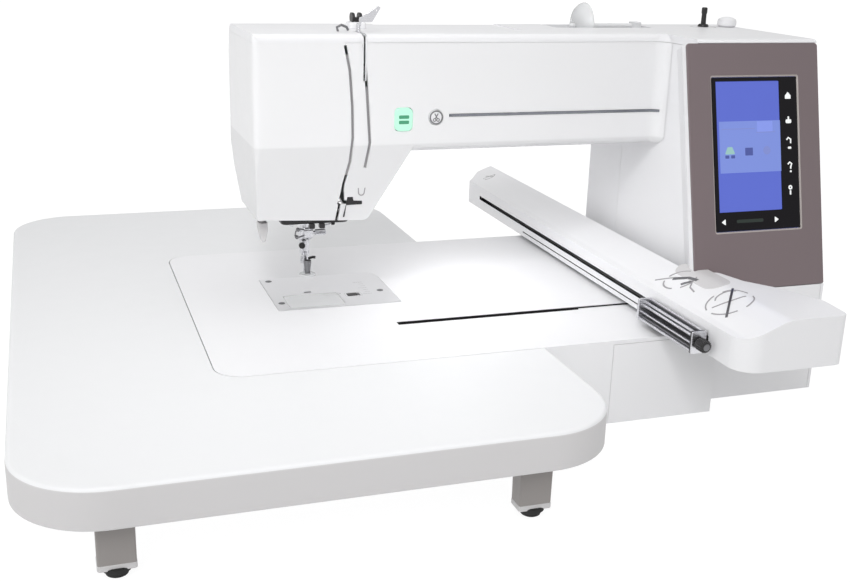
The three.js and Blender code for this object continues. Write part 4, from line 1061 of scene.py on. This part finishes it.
def arm_solid(name, box, look, inset=0.0, drop=0.0):
    """Plan and section of the embroidery arm crossed with each other, moved in by a wall."""
    plan = outline(arm_plan(box), inset, 10)
    obj = as_object(name, [crossed("z", plan, box.bottom - drop, box.top + 5)], look)
    across = crossed("y", outline(arm_section(box), inset, 8), box.front - 9, box.back + 9)
    if drop:
        low = [vertex for vertex in across.verts if vertex.co.z < box.bottom + 4]
        bmesh.ops.translate(across, vec=(0, 0, -drop), verts=low)
    cut(obj, [across], "INTERSECT")
    return obj


def embroidery_arm():
    box = Box("embroidery_arm_cover")
    cover = arm_solid("embroidery_arm_shell", box, "white_shell")
    ease(cover, ARM_EDGE, 4)
    hollow = arm_solid("hollow", box, "black_plastic", ARM_WALL, 6)
    cut(cover, hollow, look="black_plastic")
    slot = block((box.left - 3, box.left + 4.5), (-250, 262), (93.6, 98.0), 1.2, 0.1, "x")
    cut(cover, [slot], look="black_plastic")
    groove = block((box.left - 3, box.left + 0.7), (-250, 128), (86.8, 88.0), 0.3, 0.05, "x")
    cut(cover, [groove], look="black_plastic")
    finish(cover, "embroidery_arm", ["embroidery_arm_cover"])


def arm_skin(box, grow):
    """A solid of the arm's own end view, to cut drawings to its curved top."""
    return crossed("y", outline(arm_section(box, grow), 0, 8), box.front - 9, box.back + 9)


def arm_decal(name, flats, look, grow):
    """Flat drawings laid one by one on the arm's curved top as a skin of even height."""
    box = Box("embroidery_arm_cover")
    for number, flat in enumerate(flats, 1):
        obj = as_object(f"{name}_{number}", [flat], look)
        cut(obj, [arm_skin(box, grow)], "INTERSECT")
        cut(obj, [arm_skin(box, grow - 0.5)])
        finish(obj, "embroidery_arm")


def arm_details():
    box = Box("embroidery_arm_cover")
    high = (box.bottom + 8, box.top + 3)
    pad = slab("z", rectangle(203, 227.5, -205, -139, 12), *high, 0.1, 0.1, steps=10)
    arm_decal("embroidery_arm_pad", [pad], "rim_plastic", 0.35)
    x, y = 204, -233
    dial = [strip("z", arc_flat(x, y, 19, start, start + 66), 1.1, *high)
        for start in (10, 100, 190, 280)]
    dial += [strip("z", [(x - 14, y + 4), (x + 13, y - 3)], 1.1, *high),
        strip("z", arc_flat(x + 3, y + 6, 11, 30, 150), 1.1, *high)]
    arm_decal("embroidery_arm_dial_print", dial, "grey_print", 0.42)
    pointer = [strip("z", [(x - 15, y - 19), (x + 14, y + 18)], 2.0, *high)]
    arm_decal("embroidery_arm_pointer_print", pointer, "dark_steel", 0.44)
    x, y = 199, -163
    lines = [strip("z", arc_flat(x, y, 14, start, start + 80), 1.3, *high) for start in (20, 130, 240)]
    lines += [strip("z", [(x - 13, y + 20), (x - 4, y + 11), (x + 2, y + 3)], 1.2, *high),
        strip("z", [(x - 4, y - 30), (x - 2, y - 20), (x + 6, y - 11)], 1.2, *high)]
    arm_decal("embroidery_arm_hoop_print", lines, "grey_print", 0.42)
    bold = [strip("z", [(x - 3, y + 7), (x + 6, y - 4), (x + 8, y - 15)], 3.4, *high),
        strip("z", [(x - 4, y - 8), (x + 4, y - 12)], 2.8, *high)]
    arm_decal("embroidery_arm_hoop_print_bold", bold, "dark_steel", 0.44)
    x, y = 196, 284
    icon = [strip("z", arc_flat(x, y, 7, 200, 340), 1.0, *high),
        strip("z", [(x - 7, y + 2), (x + 7, y - 2)], 1, *high),
        strip("z", [(x - 2, y + 6), (x + 3, y - 6)], 1.2, *high)]
    arm_decal("embroidery_arm_end_print", icon, "grey_print", 0.06)


def arc_flat(x, y, radius, start, end, count=12):
    return [point.xy for point in arc((x, y, 0), radius, start, end, count)]


def hoop_carriage():
    """An open tray of rails that the hoop clips to."""
    box = Box("hoop_carriage")
    front, back = box.front, -160
    left, right = box.left, box.left + 12.5
    bottom, top = box.bottom, 102
    whole = (front + 2.6, back - 2.6)
    rails = [block((left + 0.2, left + 2.2), whole, (bottom + 0.2, bottom + 2.0), 0.5, 0.3, "y"),
        block((left + 4.6, left + 7.2), whole, (bottom + 4.4, bottom + 6.0), 0.6, 0.3, "y"),
        pin("y", (left + 8, 0, bottom + 10.4), 1.3, *whole, 0.2, 16),
        block((left + 7.6, left + 9.4), whole, (top - 5.0, top - 3.0), 0.5, 0.3, "y"),
        block((right - 1.2, right), whole, (top - 1.6, top), 0.4, 0.2, "y")]
    piece("hoop_carriage_rails", rails, "bright_steel", "hoop_carriage", ["hoop_carriage"])
    tray = [block((left + 0.6, right), whole, (bottom, bottom + 0.9), 0.4, 0.2),
        block((right - 1.6, right - 0.4), whole, (bottom, top - 1.2), 0.4, 0.2, "y"),
        block((left + 2.6, left + 4.0), whole, (bottom + 0.8, bottom + 3.2), 0.4, 0.2, "y")]
    piece("hoop_carriage_tray", tray, "dark_steel", "hoop_carriage")
    plate = rectangle(left - 0.6, right + 0.4, bottom - 0.4, top + 0.8, 1.4)
    piece("hoop_carriage_far_plate", slab("y", plate, back - 2.8, back, 0.5, 0.5), "bright_steel",
        "hoop_carriage")
    near = slab("y", plate, front, front + 1.4, 0.4, 0.3)
    inner = slab("y", plate, front + 1.7, front + 3.0, 0.3, 0.3)
    piece("hoop_carriage_near_plate", near, "bright_steel", "hoop_carriage")
    piece("hoop_carriage_near_block", inner, "black_plastic", "hoop_carriage")
    neck = [block((right - 0.8, box.right - 13), (-225, -185), (93.2, 97.8), 1, 0.4),
        block((box.right - 16, box.right), (-225, -185), (90, 99), 1.5, 0.6)]
    piece("hoop_carriage_neck", neck, "dark_steel", "hoop_carriage")


def clamp_knob():
    knob = Box("hoop_clamp_knob")
    x, z = knob.x, knob.z
    side = (from_end(knob.back, [(3.6, 0), (5, -0.8), (5.4, -2)])
            + from_end(knob.front, [(5.4, 1.6), (4.4, 0.3), (2.4, 0)]))
    grip = turned("y", (x, 0, z), side, 72, teeth=18, depth=0.6)
    piece("hoop_clamp_grip", grip, "black_plastic", "hoop_clamp", ["hoop_clamp_knob"])
    cap = turned("y", (x, 0, z), from_end(knob.front, [(2.9, 0.4), (2.9, -0.3), (2.2, -0.5)]), 24)
    piece("hoop_clamp_cap", cap, "dark_steel", "hoop_clamp")


# ---------- top of the machine ----------
def top_guides():
    guide = Box("upper_thread_guide")
    top = guide.bottom - 0.3
    seat = block((guide.left - 3, guide.right + 3), (guide.front - 3, guide.back + 3),
        (top - 0.4, top + 5.6), 3, 1.4)
    piece("thread_guide_seat", seat, "white_shell")
    cheeks = [block((x, x + 2.4), (guide.front, guide.back), (top + 5, guide.top), 4, 0.6, "x")
        for x in (guide.left, guide.right - 2.4)]
    bridge = block((guide.left + 0.5, guide.right - 0.5), (guide.front + 1, guide.back - 1),
        (top + 5, top + 9.4), 1.5, 0.5)
    piece("thread_guide_cheeks", cheeks + [bridge], "black_plastic", replaces=["upper_thread_guide"])
    x, y = guide.left - 16, -30
    hook = [(x - 4, y, top), (x - 5, y, top + 3.4), (x - 1, y, top + 5.4), (x + 3.6, y, top + 3.6),
        (x + 5, y, top + 0.8)]
    piece("thread_guide_wire", wire(hook, 1.1), "dark_steel")


def take_up_lever():
    box = Box("take_up_lever")
    x = box.left + 2.6
    pivot = (-25, 270)
    blade = [(pivot[0] - 5, pivot[1], 3), (pivot[0] + 5, pivot[1], 3), (pivot[0] - 7, 327, 0.6),
        (pivot[0] - 13, 327, 0.6), (pivot[0] - 17, 315, 2)]
    hook = [(x - 0.8, 325, 0.4), (x + 0.8, 325, 0.4), (x + 1, 328.6, 0.4), (x + 10.5, 328.6, 1),
        (x + 18.2, 341, 1), (x + 15.4, box.top, 0.8), (x + 6, 335.6, 2), (x - 0.8, 332, 1)]
    eye = pin("y", (x + 14.5, 0, 338.4), 0.8, box.front - 1, box.front + 4, 0.1, 12)
    solids = [slab("x", blade, x - 0.8, x + 0.8, 0.3, 0.3),
              slab("y", hook, box.front, box.front + 1.6, 0.3, 0.3),
              pin("x", (0, *pivot), 6, x - 2.6, x + 2.6)]
    lever = as_object("take_up_arm", solids, "bright_steel")
    cut(lever, [eye])
    finish(lever, "take_up_lever", ["take_up_lever"])


def spool_holder():
    cap = Box("spool_cap")
    y, z = cap.y, cap.z
    outer = from_end(cap.left, [(2.8, 0), (9, 0.4), (14, 1.6), (18.6, 4), (21.4, 7.4), (22, 9.4)])
    outer += from_end(cap.right, [(22, -0.6), (21.4, 0), (2.8, 0)])
    disc = as_object("spool_cap_disc", [turned("x", (0, y, z), outer, 48)], "clear_plastic")
    inner = from_end(cap.left, [(2.9, 3), (12.5, 3.6), (17, 6), (19.8, 9.6)]) + [(20.2, cap.right + 1)]
    cut(disc, [turned("x", (0, y, z), inner, 48)])
    cut(disc, [pin("x", (0, y, z), 2.75, cap.left - 3, cap.right + 3)])
    hub = ring("x", (0, y, z), 2.75, 5, cap.left + 1, cap.right, 32)
    finish(disc, "spool_cap", ["spool_cap"])
    piece("spool_cap_hub", hub, "clear_plastic", "spool_cap")
    stand = Box("spool_pin")
    side = from_end(stand.left, [(1.4, 0), (2.3, 1.2), (2.5, 3)]) + [(2.5, stand.right - 5)]
    hinge = block((stand.right - 9, stand.right), (stand.y - 6, stand.y + 6), (stand.bottom, z + 4), 2,
        0.8)
    rod = [turned("x", (0, stand.y, z), side, 24), hinge]
    piece("spool_pin_rod", rod, "table_plastic", replaces=["spool_pin"])


def bobbin_winder():
    spindle = Box("bobbin_winder_spindle")
    x, y, low = spindle.x, spindle.y, spindle.bottom
    side = from_end(low, [(5.4, 0), (5.4, 0.8), (4.4, 2.4), (2.6, 2.6), (2.4, 12), (2.9, 13.4)])
    shaft = turned("z", (x, y, 0), side + [(2.9, spindle.top - 1), (2.2, spindle.top)], 28)
    piece("bobbin_winder_shaft", shaft, "black_plastic", "bobbin_winder", ["bobbin_winder_spindle"])
    stop = Box("bobbin_winder_stopper")
    side = from_end(stop.bottom, [(7.8, 0), (9.4, 1.4), (9.5, 5), (8.6, 7.4)])
    dome = turned("z", (stop.x, stop.y, 0), side + [(6, stop.top - 0.8), (2.4, stop.top)], 36)
    piece("bobbin_winder_stop", dome, "white_shell", replaces=["bobbin_winder_stopper"])
    scale = ring("z", (x, y, 0), 12, 12.8, low - 0.45, low - 0.2, 40)
    piece("bobbin_winder_seat", scale, "pale_print")


# ---------- right side, back and underside ----------
def handwheel():
    wheel = Box("handwheel")
    y, z, r = wheel.y, wheel.z, (wheel.top - wheel.bottom) / 2
    side = from_end(wheel.left, [(18, 0), (r - 3, 0.6), (r, 4)])
    side += from_end(wheel.right, [(r, -4), (r - 1, -1.6), (r - 3.4, -0.2), (r - 6, 0), (r - 9, -0.8),
                                   (r - 11, -2.4), (10, -2.6), (8, -3.4), (2, -3.6)])
    body = turned("x", (0, y, z), side, 144, teeth=36, depth=1.1)
    piece("handwheel_grip", body, "table_plastic", "main_shaft", ["handwheel"])


def socket_details():
    socket = Box("power_inlet")
    x = socket.right - 12
    pins = [block((x, x + 8), (socket.y + dy - 1, socket.y + dy + 1), (z - 2.4, z + 2.4), 0.5, 0.4, "x")
        for dy, z in ((-5.4, 37), (5.4, 37), (0, 42))]
    piece("power_inlet_pins", pins, "bright_steel")
    rocker = Box("power_switch")
    marks = [block((rocker.right - 1.6, rocker.right - 0.9), (rocker.y + 4.5, rocker.y + 5.2),
            (rocker.z - 2, rocker.z + 2), 0.2, 0.05, "x")]
    piece("power_switch_mark", marks, "icon_white", "power_switch")


def rear_vents():
    back = Box("rear_cover").back
    slots = []
    for k in range(9):
        z = 92 + 6 * k
        slots.append(block((250, 318), (back - 0.3, back + 0.12), (z, z + 2.2), 1, 0.05, "y"))
    piece("rear_vents", slots, "black_plastic")
    seats = [screw("y", (x, back - 0.1, z), 3.4, 1.2) for x, z in ((236, 24), (340, 24), (340, 214))]
    piece("rear_screws", seats, "dark_steel")


def underside_screws():
    plate = Box("base_plate")
    spots = [(x, y) for x in (-150, -60, 30, 120, 200) for y in (-150, 110)] + [(330, -100), (330, 20)]
    heads = [screw("z", (x, y, plate.bottom + 0.05), 3.6, 1.3, -1) for x, y in spots]
    piece("base_plate_screws", heads, "dark_steel")
    for corner in ("front_left", "front_right", "rear_left", "rear_right"):
        name = "base_foot_" + corner
        foot = Box(name)
        r = (foot.right - foot.left) / 2
        side = [(3, 0.9), (4.4, 0.6), (r - 2, 0), (r - 0.8, 0.5), (r, 2.2), (r, foot.top)]
        piece(name + "_pad", turned("z", (foot.x, foot.y, 0), side, 36), "rubber", replaces=[name])


add_camera()
make_looks()
add_studio()
add_floor()
dress_cad_nodes()
extension_table()
for leg_name in LEGS:
    table_leg(leg_name)
slot_lining()
needle_plate_details()
channel_shade_liners()
cover_seam()
lever_slot_lips()
thread_guide_hook()
head_marks()
head_underside()
needle_bar()
needle()
presser()
embroidery_foot()
threader()
bar_guides()
start_button()
cutter_button()
panel_bezel()
display_content()
embroidery_arm()
arm_details()
hoop_carriage()
clamp_knob()
top_guides()
take_up_lever()
spool_holder()
bobbin_winder()
handwheel()
socket_details()
rear_vents()
underside_screws()
